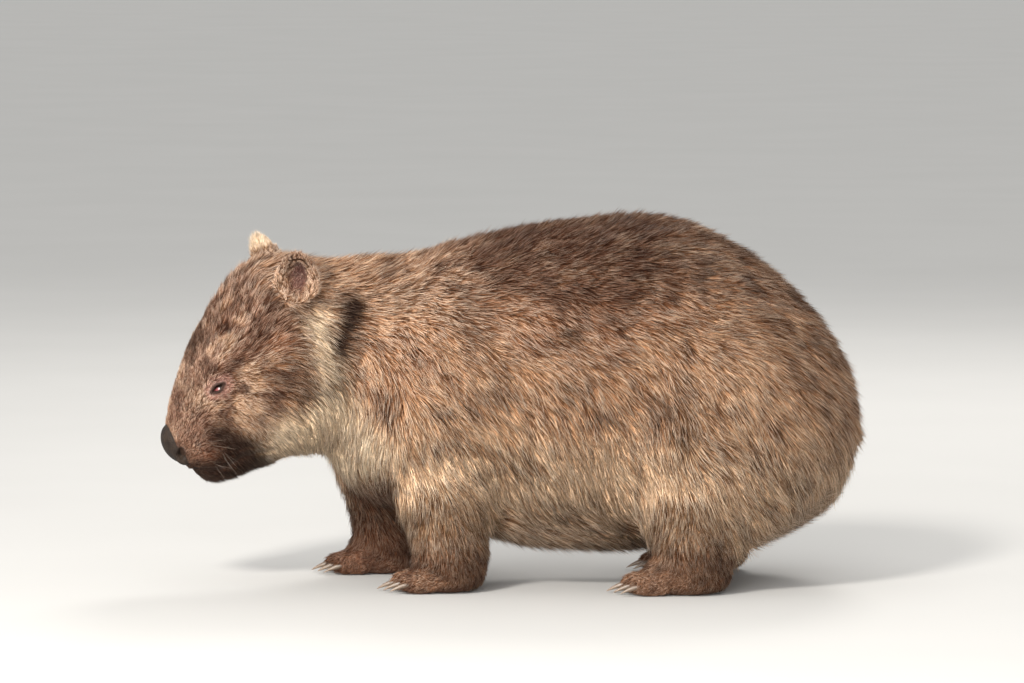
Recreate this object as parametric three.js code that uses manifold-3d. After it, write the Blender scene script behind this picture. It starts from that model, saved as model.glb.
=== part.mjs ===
// A life-size common wombat, standing with its head lowered and turned a little to its left.
// Millimetres, +Z up, nose towards -X, the animal's left side towards -Y. The floor is Z = 0.
// The body is one implicit form of blended masses, taken out to the tips of the coat.
// It is polygonised piece by piece and parted with thin cuts where a person names its parts.
import * as THREE from "three";
import { mergeVertices } from "three/addons/utils/BufferGeometryUtils.js";
import Module from "manifold-3d";

const wasm = await Module();
wasm.setup();

// Driving dimensions
const BACK_HEIGHT = 388; // floor to the highest point of the loin, over the coat
const HIP_WIDTH = 286;
const SHOULDER_WIDTH = 236;
const HEAD_PITCH = 38; // degrees that the muzzle points below level
const HEAD_YAW = 12; // degrees that the face turns to the animal's left
const EAR_LENGTH = 58;
const EAR_WIDTH = 50;
const EYE_RADIUS = 9;
const GAP = 0.3; // left between pieces that touch
const SIDES = { left: 1, right: -1 }; // sign of Y in the head frame

// Cells of the polygons, finest where the form is
const CELL = { trunk: 26, neck: 20, head: 10.8, leg: 17, paw: 11.5, tail: 10 };

// The room in which each piece's polygons are made: its lowest and highest corners
const ROOM = {
  trunk: [[-420, -210, 0], [420, 210, 440]],
  neck: [[-245, -150, 60], [-50, 150, 400]],
  head: [[-400, -170, 60], [-120, 170, 400]],
  tail: [[290, -30, 110], [400, 30, 210]],
};

// Distance fields: each is a function of a point that is negative inside the form
const radians = THREE.MathUtils.degToRad;

function ellipsoid(centre, radii, pitch = 0) {
  const [cx, cy, cz] = centre;
  const [rx, ry, rz] = radii;
  const c = Math.cos(radians(pitch));
  const s = Math.sin(radians(pitch));
  return (x, y, z) => {
    const dx = x - cx;
    const dz = z - cz;
    const px = (c * dx + s * dz) / rx;
    const py = (y - cy) / ry;
    const pz = (c * dz - s * dx) / rz;
    const k0 = Math.hypot(px, py, pz);
    const k1 = Math.hypot(px / rx, py / ry, pz / rz);
    return k1 === 0 ? -Math.min(rx, ry, rz) : (k0 * (k0 - 1)) / k1;
  };
}

function limb(from, to, startRadius, endRadius) {
  const a = new THREE.Vector3(...from);
  const ab = new THREE.Vector3(...to).sub(a);
  const span = ab.lengthSq();
  const p = new THREE.Vector3();
  return (x, y, z) => {
    p.set(x, y, z).sub(a);
    const t = THREE.MathUtils.clamp(p.dot(ab) / span, 0, 1);
    return p.addScaledVector(ab, -t).length() - THREE.MathUtils.lerp(startRadius, endRadius, t);
  };
}

function softMin(a, b, k) {
  const h = Math.max(k - Math.abs(a - b), 0) / k;
  return Math.min(a, b) - (h * h * k) / 4;
}

function blend(k, ...fields) {
  return (x, y, z) => fields.map((f) => f(x, y, z)).reduce((a, b) => softMin(a, b, k));
}

function hollow(field, tool, k) {
  return (x, y, z) => -softMin(-field(x, y, z), tool(x, y, z), k);
}

function inFrame(field, matrix) {
  const e = matrix.clone().invert().elements;
  return (x, y, z) =>
    field(
      e[0] * x + e[4] * y + e[8] * z + e[12],
      e[1] * x + e[5] * y + e[9] * z + e[13],
      e[2] * x + e[6] * y + e[10] * z + e[14],
    );
}

const both = (make) => [1, -1].map(make);

// Head frame: +X runs from the nape to the nose, +Y to the animal's left, +Z to the forehead
const NAPE = [-192, 0, 240];
const headFrame = new THREE.Matrix4()
  .makeTranslation(...NAPE)
  .multiply(new THREE.Matrix4().makeRotationZ(radians(180 + HEAD_YAW)))
  .multiply(new THREE.Matrix4().makeRotationY(radians(HEAD_PITCH)));

// Masses of the head
const cranium = ellipsoid([6, 0, 38], [74, 80, 87], -18);
const forehead = ellipsoid([72, 0, 44], [60, 54, 57], -32);
const cheeks = both((s) => ellipsoid([50, s * 38, -6], [66, 48, 68], -8));
const muzzle = ellipsoid([120, 0, 16], [59, 44, 54], -17);
const jowls = ellipsoid([98, 0, -20], [48, 44, 34], 10);
const brows = both((s) => ellipsoid([88, s * 40, 60], [32, 20, 19], -30));
const lips = both((s) => ellipsoid([155, s * 17, -4], [24, 21, 21]));
const chin = ellipsoid([150, 0, -25], [27, 24, 17], 10);
const sockets = both((s) => ellipsoid([112, s * 64, 43], [18, 12, 13], -10));
const softHead = blend(30, cranium, forehead, ...cheeks, muzzle, jowls);
const firmHead = blend(14, softHead, ...brows, ...lips, chin);
const headForm = sockets.reduce((form, socket) => hollow(form, socket, 14), firmHead);
const skull = inFrame(headForm, headFrame);

// Masses of the trunk
const hip = HIP_WIDTH / 2;
const shoulder = SHOULDER_WIDTH / 2;
const TRUNK_MIDDLE = 208;
const trunk = blend(
  46,
  ellipsoid([134, 0, TRUNK_MIDDLE], [171, hip - 10, BACK_HEIGHT - TRUNK_MIDDLE - 3], -4),
  ellipsoid([236, 0, 193], [144, hip - 12, 119], -52),
  ellipsoid([252, 0, 138], [80, hip - 24, 84], 0),
  ellipsoid([28, 0, TRUNK_MIDDLE - 5], [152, hip - 18, 168], 3),
  ellipsoid([-66, 0, 211], [112, shoulder - 4, 134], 0),
);
const nape = ellipsoid([-144, 0, 238], [96, 92, 104], 0);
const chest = ellipsoid([-116, 0, 148], [66, 88, 62], 0);

// Each leg: the points that its masses follow, with Y measured outwards from the middle
const LEGS = {
  foreleg_left: { side: -1, bend: [-64, 76, 96], ankle: [-58, 77, 44], paw: -62 },
  foreleg_right: { side: 1, bend: [-126, 76, 100], ankle: [-122, 77, 44], paw: -134 },
  hindleg_left: { side: -1, bend: [186, 94, 92], ankle: [190, 95, 46], paw: 180 },
  hindleg_right: { side: 1, bend: [208, 94, 92], ankle: [212, 95, 46], paw: 204 },
};
const isHind = (leg) => leg.paw > 0;
const outwards = (leg, [x, y, z]) => [x, leg.side * y, z];

function haunch(leg) {
  const [x, y] = leg.bend;
  return isHind(leg)
    ? ellipsoid(outwards(leg, [x + 30, y - 8, 146]), [98, 56, 112], -10)
    : ellipsoid(outwards(leg, [x - 6, y - 6, 168]), [64, 44, 106], 10);
}

function shank(leg) {
  const [thick, thin] = isHind(leg) ? [52, 44] : [48, 41];
  return limb(outwards(leg, leg.bend), outwards(leg, leg.ankle), thick, thin);
}

const TOES = [-2, -1, 0, 1, 2];
const TOE_PITCH = 12.5;

function toePoint(leg, n) {
  const forward = leg.paw - (isHind(leg) ? 44 : 36) + 5 * Math.abs(n);
  return [forward, leg.side * leg.ankle[1] + n * TOE_PITCH, 11];
}

function paw(leg) {
  const palm = ellipsoid([leg.paw, leg.side * leg.ankle[1], 18], [isHind(leg) ? 52 : 44, 34, 24]);
  const toes = TOES.map((n) => ellipsoid(toePoint(leg, n), [20, 8.5, 14]));
  return blend(8, palm, ...toes);
}

const torso = blend(40, trunk, chest, ...Object.values(LEGS).map(haunch));
const whole = blend(30, torso, nape, skull);

// Polygons from a field: one vertex in each cell that the surface crosses, pulled onto the surface
function polygonise(field, low, high, cell) {
  const [nx, ny, nz] = low.map((l, i) => Math.ceil((high[i] - l) / cell) + 1);
  const index = (i, j, k) => i + nx * (j + ny * k);
  const values = new Float32Array(nx * ny * nz);
  const atEdge = (n, count) => n === 0 || n === count - 1;
  for (let k = 0; k < nz; k++) {
    for (let j = 0; j < ny; j++) {
      for (let i = 0; i < nx; i++) {
        const d = field(low[0] + i * cell, low[1] + j * cell, low[2] + k * cell);
        const edge = atEdge(i, nx) || atEdge(j, ny) || atEdge(k, nz);
        values[index(i, j, k)] = edge ? Math.max(d, cell / 2) : d;
      }
    }
  }
  const corners = [0, 1, 2, 3, 4, 5, 6, 7].map((c) => [c & 1, (c >> 1) & 1, c >> 2]);
  const vertexOf = new Map();
  const positions = [];
  for (let k = 0; k < nz - 1; k++) {
    for (let j = 0; j < ny - 1; j++) {
      for (let i = 0; i < nx - 1; i++) {
        const v = corners.map(([a, b, c]) => values[index(i + a, j + b, k + c)]);
        const inside = v.filter((d) => d < 0).length;
        if (inside === 0 || inside === 8) continue;
        const sum = [0, 0, 0];
        let crossings = 0;
        for (let m = 0; m < 8; m++) {
          for (const bit of [1, 2, 4]) {
            const n = m | bit;
            if (n === m || v[m] < 0 === v[n] < 0) continue;
            const t = v[m] / (v[m] - v[n]);
            for (let axis = 0; axis < 3; axis++) {
              sum[axis] += corners[m][axis] + t * (corners[n][axis] - corners[m][axis]);
            }
            crossings++;
          }
        }
        vertexOf.set(index(i, j, k), positions.length / 3);
        [i, j, k].forEach((g, axis) => positions.push(low[axis] + (g + sum[axis] / crossings) * cell));
      }
    }
  }
  const reach = cell * 0.45;
  for (let n = 0; n < positions.length; n += 3) {
    const start = positions.slice(n, n + 3);
    const landed = ontoSurface(field, start, cell * 0.05);
    landed.forEach((value, axis) => {
      positions[n + axis] = THREE.MathUtils.clamp(value, start[axis] - reach, start[axis] + reach);
    });
  }
  const faces = [];
  const strides = [1, nx, nx * ny];
  for (let k = 0; k < nz - 1; k++) {
    for (let j = 0; j < ny - 1; j++) {
      for (let i = 0; i < nx - 1; i++) {
        const here = index(i, j, k);
        const inHere = values[here] < 0;
        for (let axis = 0; axis < 3; axis++) {
          if ([i, j, k].some((n, other) => n === 0 && other !== axis)) continue;
          if (inHere === values[here + strides[axis]] < 0) continue;
          const u = strides[(axis + 1) % 3];
          const w = strides[(axis + 2) % 3];
          const quad = [here, here - u, here - u - w, here - w].map((q) => vertexOf.get(q));
          if (!inHere) quad.reverse();
          faces.push(quad[0], quad[1], quad[2], quad[0], quad[2], quad[3]);
        }
      }
    }
  }
  const geometry = new THREE.BufferGeometry();
  geometry.setAttribute("position", new THREE.Float32BufferAttribute(positions, 3));
  geometry.setIndex(faces);
  return geometry;
}

function gradient(field, [x, y, z], step) {
  return [
    (field(x + step, y, z) - field(x - step, y, z)) / (2 * step),
    (field(x, y + step, z) - field(x, y - step, z)) / (2 * step),
    (field(x, y, z + step) - field(x, y, z - step)) / (2 * step),
  ];
}

function ontoSurface(field, start, step) {
  const point = [...start];
  for (let round = 0; round < 4; round++) {
    const g = gradient(field, point, step);
    const steepness = g[0] * g[0] + g[1] * g[1] + g[2] * g[2];
    if (steepness < 1e-6) break;
    const pull = field(...point) / steepness;
    g.forEach((slope, axis) => {
      point[axis] -= pull * slope;
    });
  }
  return point;
}

// Where a ray from inside a field first leaves it
function exitPoint(field, from, direction, farthest = 200) {
  const at = (t) => from.map((value, axis) => value + t * direction[axis]);
  let [near, far] = [0, farthest];
  for (let round = 0; round < 40; round++) {
    const middle = (near + far) / 2;
    if (field(...at(middle)) < 0) near = middle;
    else far = middle;
  }
  return at(near);
}

// Joining and cutting
function solid(source) {
  const geometry = source.clone();
  geometry.deleteAttribute("normal");
  geometry.deleteAttribute("uv");
  const merged = mergeVertices(geometry, 1e-4);
  return new wasm.Manifold(
    new wasm.Mesh({
      numProp: 3,
      vertProperties: new Float32Array(merged.attributes.position.array),
      triVerts: new Uint32Array(merged.index.array),
    }),
  );
}

// The same surface moved outwards along its normals, to cut a neighbour clear of it
function grown(source, by) {
  const geometry = source.clone();
  geometry.computeVertexNormals();
  const { position, normal } = geometry.attributes;
  for (let i = 0; i < position.count; i++) {
    position.setXYZ(
      i,
      position.getX(i) + by * normal.getX(i),
      position.getY(i) + by * normal.getY(i),
      position.getZ(i) + by * normal.getZ(i),
    );
  }
  return solid(geometry);
}

const largest = (body) => body.decompose().reduce((a, b) => (a.volume() > b.volume() ? a : b));

function geometryOf(body) {
  const mesh = body.getMesh();
  const geometry = new THREE.BufferGeometry();
  geometry.setAttribute("position", new THREE.BufferAttribute(mesh.vertProperties, 3));
  geometry.setIndex(new THREE.BufferAttribute(mesh.triVerts, 1));
  return geometry;
}

function reshaped(geometry, map) {
  const { position } = geometry.attributes;
  for (let i = 0; i < position.count; i++) {
    position.setXYZ(i, ...map(position.getX(i), position.getY(i), position.getZ(i)));
  }
  return geometry;
}

// A matrix whose Y runs along a direction and whose Z leans towards the outside
function standing(at, along, outside) {
  const y = new THREE.Vector3(...along).normalize();
  const x = new THREE.Vector3().crossVectors(y, new THREE.Vector3(...outside)).normalize();
  const z = new THREE.Vector3().crossVectors(x, y);
  return new THREE.Matrix4().makeBasis(x, y, z).setPosition(...at);
}

// A claw: a tapered, flattened spike that bends down over its length
const CLAW = { length: 36, width: 8, thickness: 9, bend: 0.5, sides: 6, steps: 3 };
const CLAW_SPREAD = 0.07; // how far each toe's claw turns outwards from its neighbour's
const CLAW_CLEARANCE = 0.4; // kept above the floor
function clawShape({ length, width, thickness, bend, sides, steps }) {
  const cone = new THREE.ConeGeometry(0.5, length, sides, steps);
  return reshaped(cone, (x, y, z) => {
    const turn = bend * (y / length + 0.5);
    const along = (Math.sin(turn) / bend) * length;
    const drop = ((1 - Math.cos(turn)) / bend) * length;
    const out = z * thickness;
    return [x * width, along + out * Math.sin(turn), out * Math.cos(turn) - drop];
  });
}

// Seeded random numbers, so that the locks fall the same way each time
let seed = 20;
function random(low, high) {
  seed = (seed + 0x6d2b79f5) | 0;
  let n = Math.imul(seed ^ (seed >>> 15), 1 | seed);
  n = (n + Math.imul(n ^ (n >>> 7), 61 | n)) ^ n;
  return low + ((high - low) * ((n ^ (n >>> 14)) >>> 0)) / 2 ** 32;
}

// A lock of the coat: a flat blade that leaves the body at its root and follows it along the lie
const LOCK_STEPS = 3;
const LOCK_SWERVE = 0.12; // radians that a lock may turn aside in each step
const LOCK_BREADTH = [1, 1.3, 1.7, 1]; // widens the cone's straight taper to a leaf's
function lock(field, root, lie, { length, width, thickness, lift, sink = 6 }) {
  const flow = new THREE.Vector3(...lie).normalize();
  const turn = random(-LOCK_SWERVE, LOCK_SWERVE);
  const stations = [];
  let at = root;
  for (let step = 0; step <= LOCK_STEPS; step++) {
    const normal = new THREE.Vector3(...gradient(field, at, 2)).normalize();
    const along = flow.clone().addScaledVector(normal, -flow.dot(normal)).normalize();
    const side = new THREE.Vector3().crossVectors(along, normal);
    const t = step / LOCK_STEPS;
    const height = lift * t ** 0.7 - sink * (1 - t) ** 4;
    const centre = new THREE.Vector3(...at).addScaledVector(normal, height);
    stations.push({ centre, side: side.multiplyScalar(width * LOCK_BREADTH[step]), normal });
    flow.applyAxisAngle(normal, turn);
    const next = new THREE.Vector3(...at).addScaledVector(along, length / LOCK_STEPS);
    at = ontoSurface(field, next.toArray(), 2);
  }
  const cone = new THREE.ConeGeometry(0.5, 1, 4, LOCK_STEPS);
  return solid(
    reshaped(cone, (x, y, z) => {
      const { centre, side, normal } = stations[Math.round((y + 0.5) * LOCK_STEPS)];
      return centre
        .clone()
        .addScaledVector(side, x)
        .addScaledVector(normal, z * thickness)
        .toArray();
    }),
  );
}

function withLocks(body, locks, ...neighbours) {
  const clear = neighbours.reduce((left, other) => left.subtract(other), wasm.Manifold.union(locks));
  return largest(body.add(clear));
}

function placedBox(size, centre, turn = 0) {
  const box = new THREE.BoxGeometry(...size);
  box.rotateZ(radians(turn));
  box.translate(...centre);
  return solid(box);
}

// All that lies on the nose's side of an upright plane, and all that lies above a level
const FAR = 1200;
function before(x, turn = 0) {
  const c = Math.cos(radians(turn));
  const s = Math.sin(radians(turn));
  return placedBox([FAR, FAR, FAR], [x - (c * FAR) / 2, (-s * FAR) / 2, 200], turn);
}
const above = (level) => placedBox([FAR, FAR, FAR], [0, 0, FAR / 2 + level]);

const half = GAP / 2;
const pieces = {};

// Torso and neck
const NECK_FRONT = -176;
const NECK_BACK = -116;
const trunkShape = polygonise(whole, ...ROOM.trunk, CELL.trunk);
const neckShape = polygonise(whole, ...ROOM.neck, CELL.neck);
const torsoCore = solid(trunkShape).subtract(before(NECK_BACK + half));
const neckCore = solid(neckShape)
  .intersect(before(NECK_BACK - half))
  .subtract(before(NECK_FRONT + half, HEAD_YAW));
const torsoGrown = grown(trunkShape, GAP).subtract(before(NECK_BACK));
const neckGrown = grown(neckShape, GAP).intersect(before(NECK_BACK));
const bodyGrown = torsoGrown.add(neckGrown);

// Legs and paws
const ANKLE_CUT = 33;
const legsGrown = [];
for (const [name, leg] of Object.entries(LEGS)) {
  const foot = blend(16, paw(leg), shank(leg));
  const [x, y] = [leg.paw, leg.side * leg.ankle[1]];
  const low = [x - 100, y - 70, -30];
  const legShape = polygonise(foot, low, [x + 110, y + 70, 200], CELL.leg);
  pieces[name] = largest(solid(legShape).intersect(above(ANKLE_CUT + half)).subtract(bodyGrown));
  legsGrown.push(grown(legShape, 2 * GAP));
  const pawShape = polygonise(foot, low, [x + 110, y + 70, 70], CELL.paw);
  const pawName = name.replace("leg", "paw");
  pieces[pawName] = largest(
    solid(pawShape).intersect(above(0)).subtract(above(ANKLE_CUT - half)).subtract(bodyGrown),
  );
  const pawGrown = grown(pawShape, GAP);
  const clawed = isHind(leg) ? TOES.filter((n) => n * leg.side !== -2) : TOES;
  for (const n of clawed) {
    const [tx, ty, tz] = toePoint(leg, n);
    const claw = clawShape(CLAW).applyMatrix4(
      standing([tx, ty, tz], [-1, n * CLAW_SPREAD, 0.02], [0, 0, 1]),
    );
    const number = TOES.indexOf(n) + 1;
    const raised = solid(claw).intersect(above(CLAW_CLEARANCE));
    pieces[`claw_${pawName}_${number}`] = largest(raised.subtract(pawGrown));
  }
}

// Tail: a stub that the rump's coat nearly hides
const stub = limb([330, 0, 176], [368, 0, 148], 18, 9);
const tailShape = polygonise(stub, ...ROOM.tail, CELL.tail);
pieces.tail = largest(solid(tailShape).subtract(bodyGrown));
const tailGrown = grown(tailShape, 2 * GAP);

// Fringe of the belly: three staggered rows of overlapping locks along each lower flank
const AXIS_HEIGHT = 200;
const FRINGE_LOCK = { length: 72, width: 40, thickness: 7, lift: 8 };
const FRINGE = { first: -16, last: 116, step: 28, rows: [112, 134, 158], lie: [0.8, 0, -1] };
const trunkLocks = [];
for (const side of [1, -1]) {
  FRINGE.rows.forEach((angle, row) => {
    for (let x = FRINGE.first + (row % 2) * (FRINGE.step / 2); x <= FRINGE.last; x += FRINGE.step) {
      const turn = radians(angle + random(-3, 3));
      const root = exitPoint(whole, [x, 0, AXIS_HEIGHT], [0, side * Math.sin(turn), Math.cos(turn)]);
      const length = FRINGE_LOCK.length * random(0.9, 1.15);
      trunkLocks.push(lock(whole, root, FRINGE.lie, { ...FRINGE_LOCK, length }));
    }
  });
}

// Skirt of the rump: two rows of overlapping locks that hang down behind, about the tail
const RUMP_LOCK = { length: 76, width: 46, thickness: 8, lift: 8 };
const RUMP = { middle: [236, 0, 170], turns: [16, 36, 56, 76], heights: [0.05, -0.42] };
for (const side of [1, -1]) {
  RUMP.heights.forEach((height, row) => {
    for (const angle of RUMP.turns) {
      const turn = radians(angle + 8 * row + random(-3, 3));
      const root = exitPoint(whole, RUMP.middle, [Math.cos(turn), side * Math.sin(turn), height]);
      trunkLocks.push(lock(whole, root, [0.2, side * 0.1, -1], RUMP_LOCK));
    }
  });
}
pieces.torso = withLocks(torsoCore, trunkLocks, tailGrown, ...legsGrown);

// Locks of the chest and throat, which hang down over the tops of the forelegs
const CHEST_LOCK = { length: 56, width: 34, thickness: 6.5, lift: 8 };
const CHEST = { x: -150, first: 62, last: 174, step: 24, lie: [0.4, 0, -1] };
const neckLocks = [];
for (const side of [1, -1]) {
  for (let angle = CHEST.first; angle < CHEST.last; angle += CHEST.step) {
    const turn = radians(angle + random(-3, 3));
    const from = [CHEST.x + random(-8, 8), 0, AXIS_HEIGHT + 20];
    const root = exitPoint(whole, from, [0, side * Math.sin(turn), Math.cos(turn)]);
    neckLocks.push(lock(whole, root, CHEST.lie, CHEST_LOCK));
  }
}
const headSide = before(NECK_FRONT + half, HEAD_YAW);
pieces.neck = withLocks(neckCore, neckLocks, headSide, torsoGrown, ...legsGrown);

// Head, with the jaw parted along the mouth
const headShape = polygonise(whole, ...ROOM.head, CELL.head);
const headGrown = grown(headShape, GAP);
let head = solid(headShape).intersect(before(NECK_FRONT - half, HEAD_YAW));

const inHead = (geometry) => solid(geometry.applyMatrix4(headFrame));
const MOUTH = { front: [178, -9], dip: [160, -25], corner: [134, -25], hinge: [106, -36] };
const LIP_GROOVE = { width: 2.6, depth: 5 };
const below = (clearance, [u, v]) => [u + clearance, v - clearance];

// All of the head under the mouth line, in front of the jaw's hinge
function jawBlock(clearance) {
  const [front, dip, corner, hinge] = Object.values(MOUTH).map((point) => below(clearance, point));
  const shape = new THREE.Shape();
  shape.moveTo(230, front[1]);
  shape.lineTo(...front);
  shape.quadraticCurveTo(...dip, ...corner);
  shape.lineTo(...hinge);
  shape.lineTo(hinge[0], -120);
  shape.lineTo(230, -120);
  const block = new THREE.ExtrudeGeometry(shape, { depth: 160, bevelEnabled: false, curveSegments: 5 });
  block.rotateX(Math.PI / 2);
  block.translate(0, 80, 0);
  return inHead(block);
}

// The line of the mouth: a groove between the lips that runs back to the corner
const nearMouth = new THREE.BoxGeometry(120, 200, 60);
nearMouth.translate(MOUTH.corner[0] + 58, 0, MOUTH.corner[1] + 20);
const lipGroove = jawBlock(-LIP_GROOVE.width / 2)
  .subtract(jawBlock(LIP_GROOVE.width / 2))
  .intersect(inHead(nearMouth))
  .subtract(grown(headShape, -LIP_GROOVE.depth));
pieces.lower_jaw = largest(head.intersect(jawBlock(half)).subtract(lipGroove));
head = head.subtract(jawBlock(-half)).subtract(lipGroove);

// Nose: the bare leathery pad over the muzzle's end, with its two slit nostrils
const NOSE = { at: [166, 0, 14], radii: [20, 28, 25], lean: -8 };
const NOSTRIL = { at: [180, 14, 7], radii: [12, 6, 4], turn: 24, roll: 35 };
const noseShape = new THREE.SphereGeometry(1, 14, 9);
noseShape.rotateZ(Math.PI / 2);
noseShape.scale(...NOSE.radii);
noseShape.rotateY(radians(NOSE.lean));
noseShape.translate(...NOSE.at);
const nostrils = both((s) => {
  const slit = new THREE.SphereGeometry(1, 8, 6);
  slit.scale(...NOSTRIL.radii);
  slit.rotateX(radians(s * NOSTRIL.roll));
  slit.rotateZ(radians(s * NOSTRIL.turn));
  slit.translate(NOSTRIL.at[0], s * NOSTRIL.at[1], NOSTRIL.at[2]);
  return inHead(slit);
});
const withoutNostrils = (body) => nostrils.reduce((left, slit) => left.subtract(slit), body);
pieces.nose = largest(withoutNostrils(inHead(noseShape).subtract(headGrown)));
head = withoutNostrils(head);

// Eyes, sunk below the coat, with lids round a half-closed slit
const EYE = { at: [111, 43], sink: 3, slit: [8.5, 3.2, 9] };
const LID = { length: 9.5, height: 5, radius: 2.4 };
const lidRing = new THREE.TorusGeometry(1, LID.radius / LID.length, 5, 12);
lidRing.scale(LID.length, LID.height, LID.length);
reshaped(lidRing, (x, y, z) => [x, y, z - 0.02 * x * x]);

function eyeFrame(side) {
  const [u, v] = EYE.at;
  const surface = exitPoint(headForm, [u, 0, v], [0, side, 0]);
  const normal = gradient(headForm, surface, 2);
  const matrix = standing(surface, [-0.5, 0, 1], normal);
  return headFrame.clone().multiply(matrix).multiply(new THREE.Matrix4().makeTranslation(0, 0, -EYE.sink));
}

for (const [name, side] of Object.entries(SIDES)) {
  const place = (geometry, depth) =>
    solid(geometry.clone().translate(0, 0, -depth).applyMatrix4(eyeFrame(side)));
  const ball = (radius) => new THREE.SphereGeometry(radius, 10, 7);
  const slit = new THREE.SphereGeometry(1, 8, 5).scale(...EYE.slit);
  pieces[`eye_${name}`] = place(ball(EYE_RADIUS), EYE_RADIUS);
  head = head
    .add(place(lidRing, -EYE.sink - 1))
    .subtract(place(slit, -2))
    .subtract(place(ball(EYE_RADIUS + GAP * 1.2), EYE_RADIUS));
}

// Ears: a rounded leaf whose front is pressed into a cup
const EARS = {
  left: { root: [-14, 75, 77], along: [-0.6, 0.36, 0.72], opening: [0.42, 0.9, -0.05] },
  right: { root: [-16, -62, 82], along: [-0.34, -0.3, 0.9], opening: [0.8, -0.6, 0] },
};
function ear({ root, along, opening }) {
  const leaf = new THREE.SphereGeometry(1, 14, 11);
  leaf.rotateX(Math.PI / 2);
  reshaped(leaf, (x, y, z) => {
    const rim = Math.min(x * x + y * y, 1);
    const cup = z > 0 ? 15 * (1 - rim * rim) : 0;
    const width = (EAR_WIDTH / 2) * (1 - 0.16 * y);
    return [x * width, (y * EAR_LENGTH) / 2, z * 9 - cup - 6 * (1 - rim)];
  });
  leaf.translate(0, EAR_LENGTH * 0.3, 0);
  return inHead(leaf.applyMatrix4(standing(root, along, opening)));
}
for (const name of Object.keys(SIDES)) {
  pieces[`ear_${name}`] = largest(ear(EARS[name]).subtract(headGrown));
}

// Cheek ruff: two ranks of overlapping locks that sweep back and down from eye to throat
const RUFF_LOCK = { length: 48, width: 32, thickness: 6, lift: 7, sink: 5 };
const RUFF = { ranks: [14, 40], middle: [0, 20], first: 66, last: 152, step: 20, lie: [1, 0, -0.55] };
const ruff = [];
for (const side of Object.values(SIDES)) {
  RUFF.ranks.forEach((u, rank) => {
    for (let angle = RUFF.first + rank * 10; angle < RUFF.last; angle += RUFF.step) {
      const turn = radians(angle + random(-3, 3));
      const root = exitPoint(headForm, [u, ...RUFF.middle], [0, side * Math.sin(turn), Math.cos(turn)]);
      const onHead = new THREE.Vector3(...root).applyMatrix4(headFrame).toArray();
      ruff.push(lock(whole, onHead, RUFF.lie, RUFF_LOCK));
    }
  });
}
const neckSide = neckGrown.add(torsoGrown).subtract(before(NECK_FRONT, HEAD_YAW));
pieces.head = withLocks(head, ruff, neckSide, ...legsGrown);

const COLOURS = {
  coat: 0x8f7358,
  paw: 0x6b4a38,
  ear: 0xa58a72,
  nose: 0x2c2724,
  eye: 0x1a1210,
  claw: 0x4a3f36,
};
function materialFor(name) {
  const kind = ["nose", "eye", "claw", "ear"].find((k) => name.startsWith(k)) ?? "coat";
  const colour = name.includes("paw") && kind === "coat" ? COLOURS.paw : COLOURS[kind];
  const roughness = { nose: 0.6, eye: 0.15, claw: 0.5 }[kind] ?? 0.9;
  return new THREE.MeshStandardMaterial({ color: colour, roughness, metalness: 0 });
}

const wombat = new THREE.Group();
for (const [name, body] of Object.entries(pieces)) {
  const mesh = new THREE.Mesh(geometryOf(body), materialFor(name));
  mesh.name = name;
  wombat.add(mesh);
}

// The origin is on the floor, under the middle of the animal's length and width
const box = new THREE.Box3().setFromObject(wombat);
const middle = box.getCenter(new THREE.Vector3());
wombat.position.set(-middle.x, -middle.y, -box.min.z);
const model = new THREE.Group();
model.add(wombat);
export default model;
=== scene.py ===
# %% [markdown]
# # A wombat, life size, standing with its head down
#
# A museum model of an animal has a firm body under a soft coat. The imported model gives the firm part:
# a head, a neck, a torso, four legs, a tail, ears, eyes, a nose and claws, each in its true place.
# This lesson puts one skin over that body, plants the coat on the skin tuft by tuft, and finishes the
# bare parts. It starts by loading the imported model.

# %% Load the imported model
import functools
import math

import bmesh
import bpy
import numpy as np
from mathutils import Matrix, Vector


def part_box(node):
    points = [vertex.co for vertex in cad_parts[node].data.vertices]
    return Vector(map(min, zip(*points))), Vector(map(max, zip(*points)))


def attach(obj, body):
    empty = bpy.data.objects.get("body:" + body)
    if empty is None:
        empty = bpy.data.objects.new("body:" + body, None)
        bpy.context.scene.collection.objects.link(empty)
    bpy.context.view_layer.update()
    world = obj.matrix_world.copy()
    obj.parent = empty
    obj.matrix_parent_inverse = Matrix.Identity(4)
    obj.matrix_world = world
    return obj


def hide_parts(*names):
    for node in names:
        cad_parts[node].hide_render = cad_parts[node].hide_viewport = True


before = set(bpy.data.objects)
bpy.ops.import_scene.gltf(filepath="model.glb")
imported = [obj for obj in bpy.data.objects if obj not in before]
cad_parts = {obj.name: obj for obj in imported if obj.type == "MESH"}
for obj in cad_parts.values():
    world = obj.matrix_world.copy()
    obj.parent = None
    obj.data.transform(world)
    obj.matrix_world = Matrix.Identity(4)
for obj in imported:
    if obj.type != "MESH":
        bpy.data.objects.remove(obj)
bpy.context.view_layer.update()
BODY = "root"

# %% [markdown]
# ## The animal's own frame
#
# The body is worked out in millimetres, nose towards -X and the left side towards -Y, as an anatomist
# would draw it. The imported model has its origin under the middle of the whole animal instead, so one
# shift takes every point from one frame to the other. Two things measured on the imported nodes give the
# shift: the plane where the neck meets the torso, and the line midway between the two hind paws.

# %% Find the shift between the two frames
MM = 0.001
# The cuts behind and in front of the neck, and the width of a cut
NECK_BACK = -116.0
NECK_FRONT = -176.0
GAP = 0.3


def box_mm(node):
    """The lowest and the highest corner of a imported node, in millimetres."""
    low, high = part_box(node)
    return np.array(low) / MM, np.array(high) / MM


paw_middles = [np.mean(box_mm(name), axis=0)[1] for name in ("hindpaw_left", "hindpaw_right")]
SHIFT = np.array([box_mm("torso")[0][0] - (NECK_BACK + GAP / 2), np.mean(paw_middles), 0.0])
print("shift in mm:", SHIFT.round(2))

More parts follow.
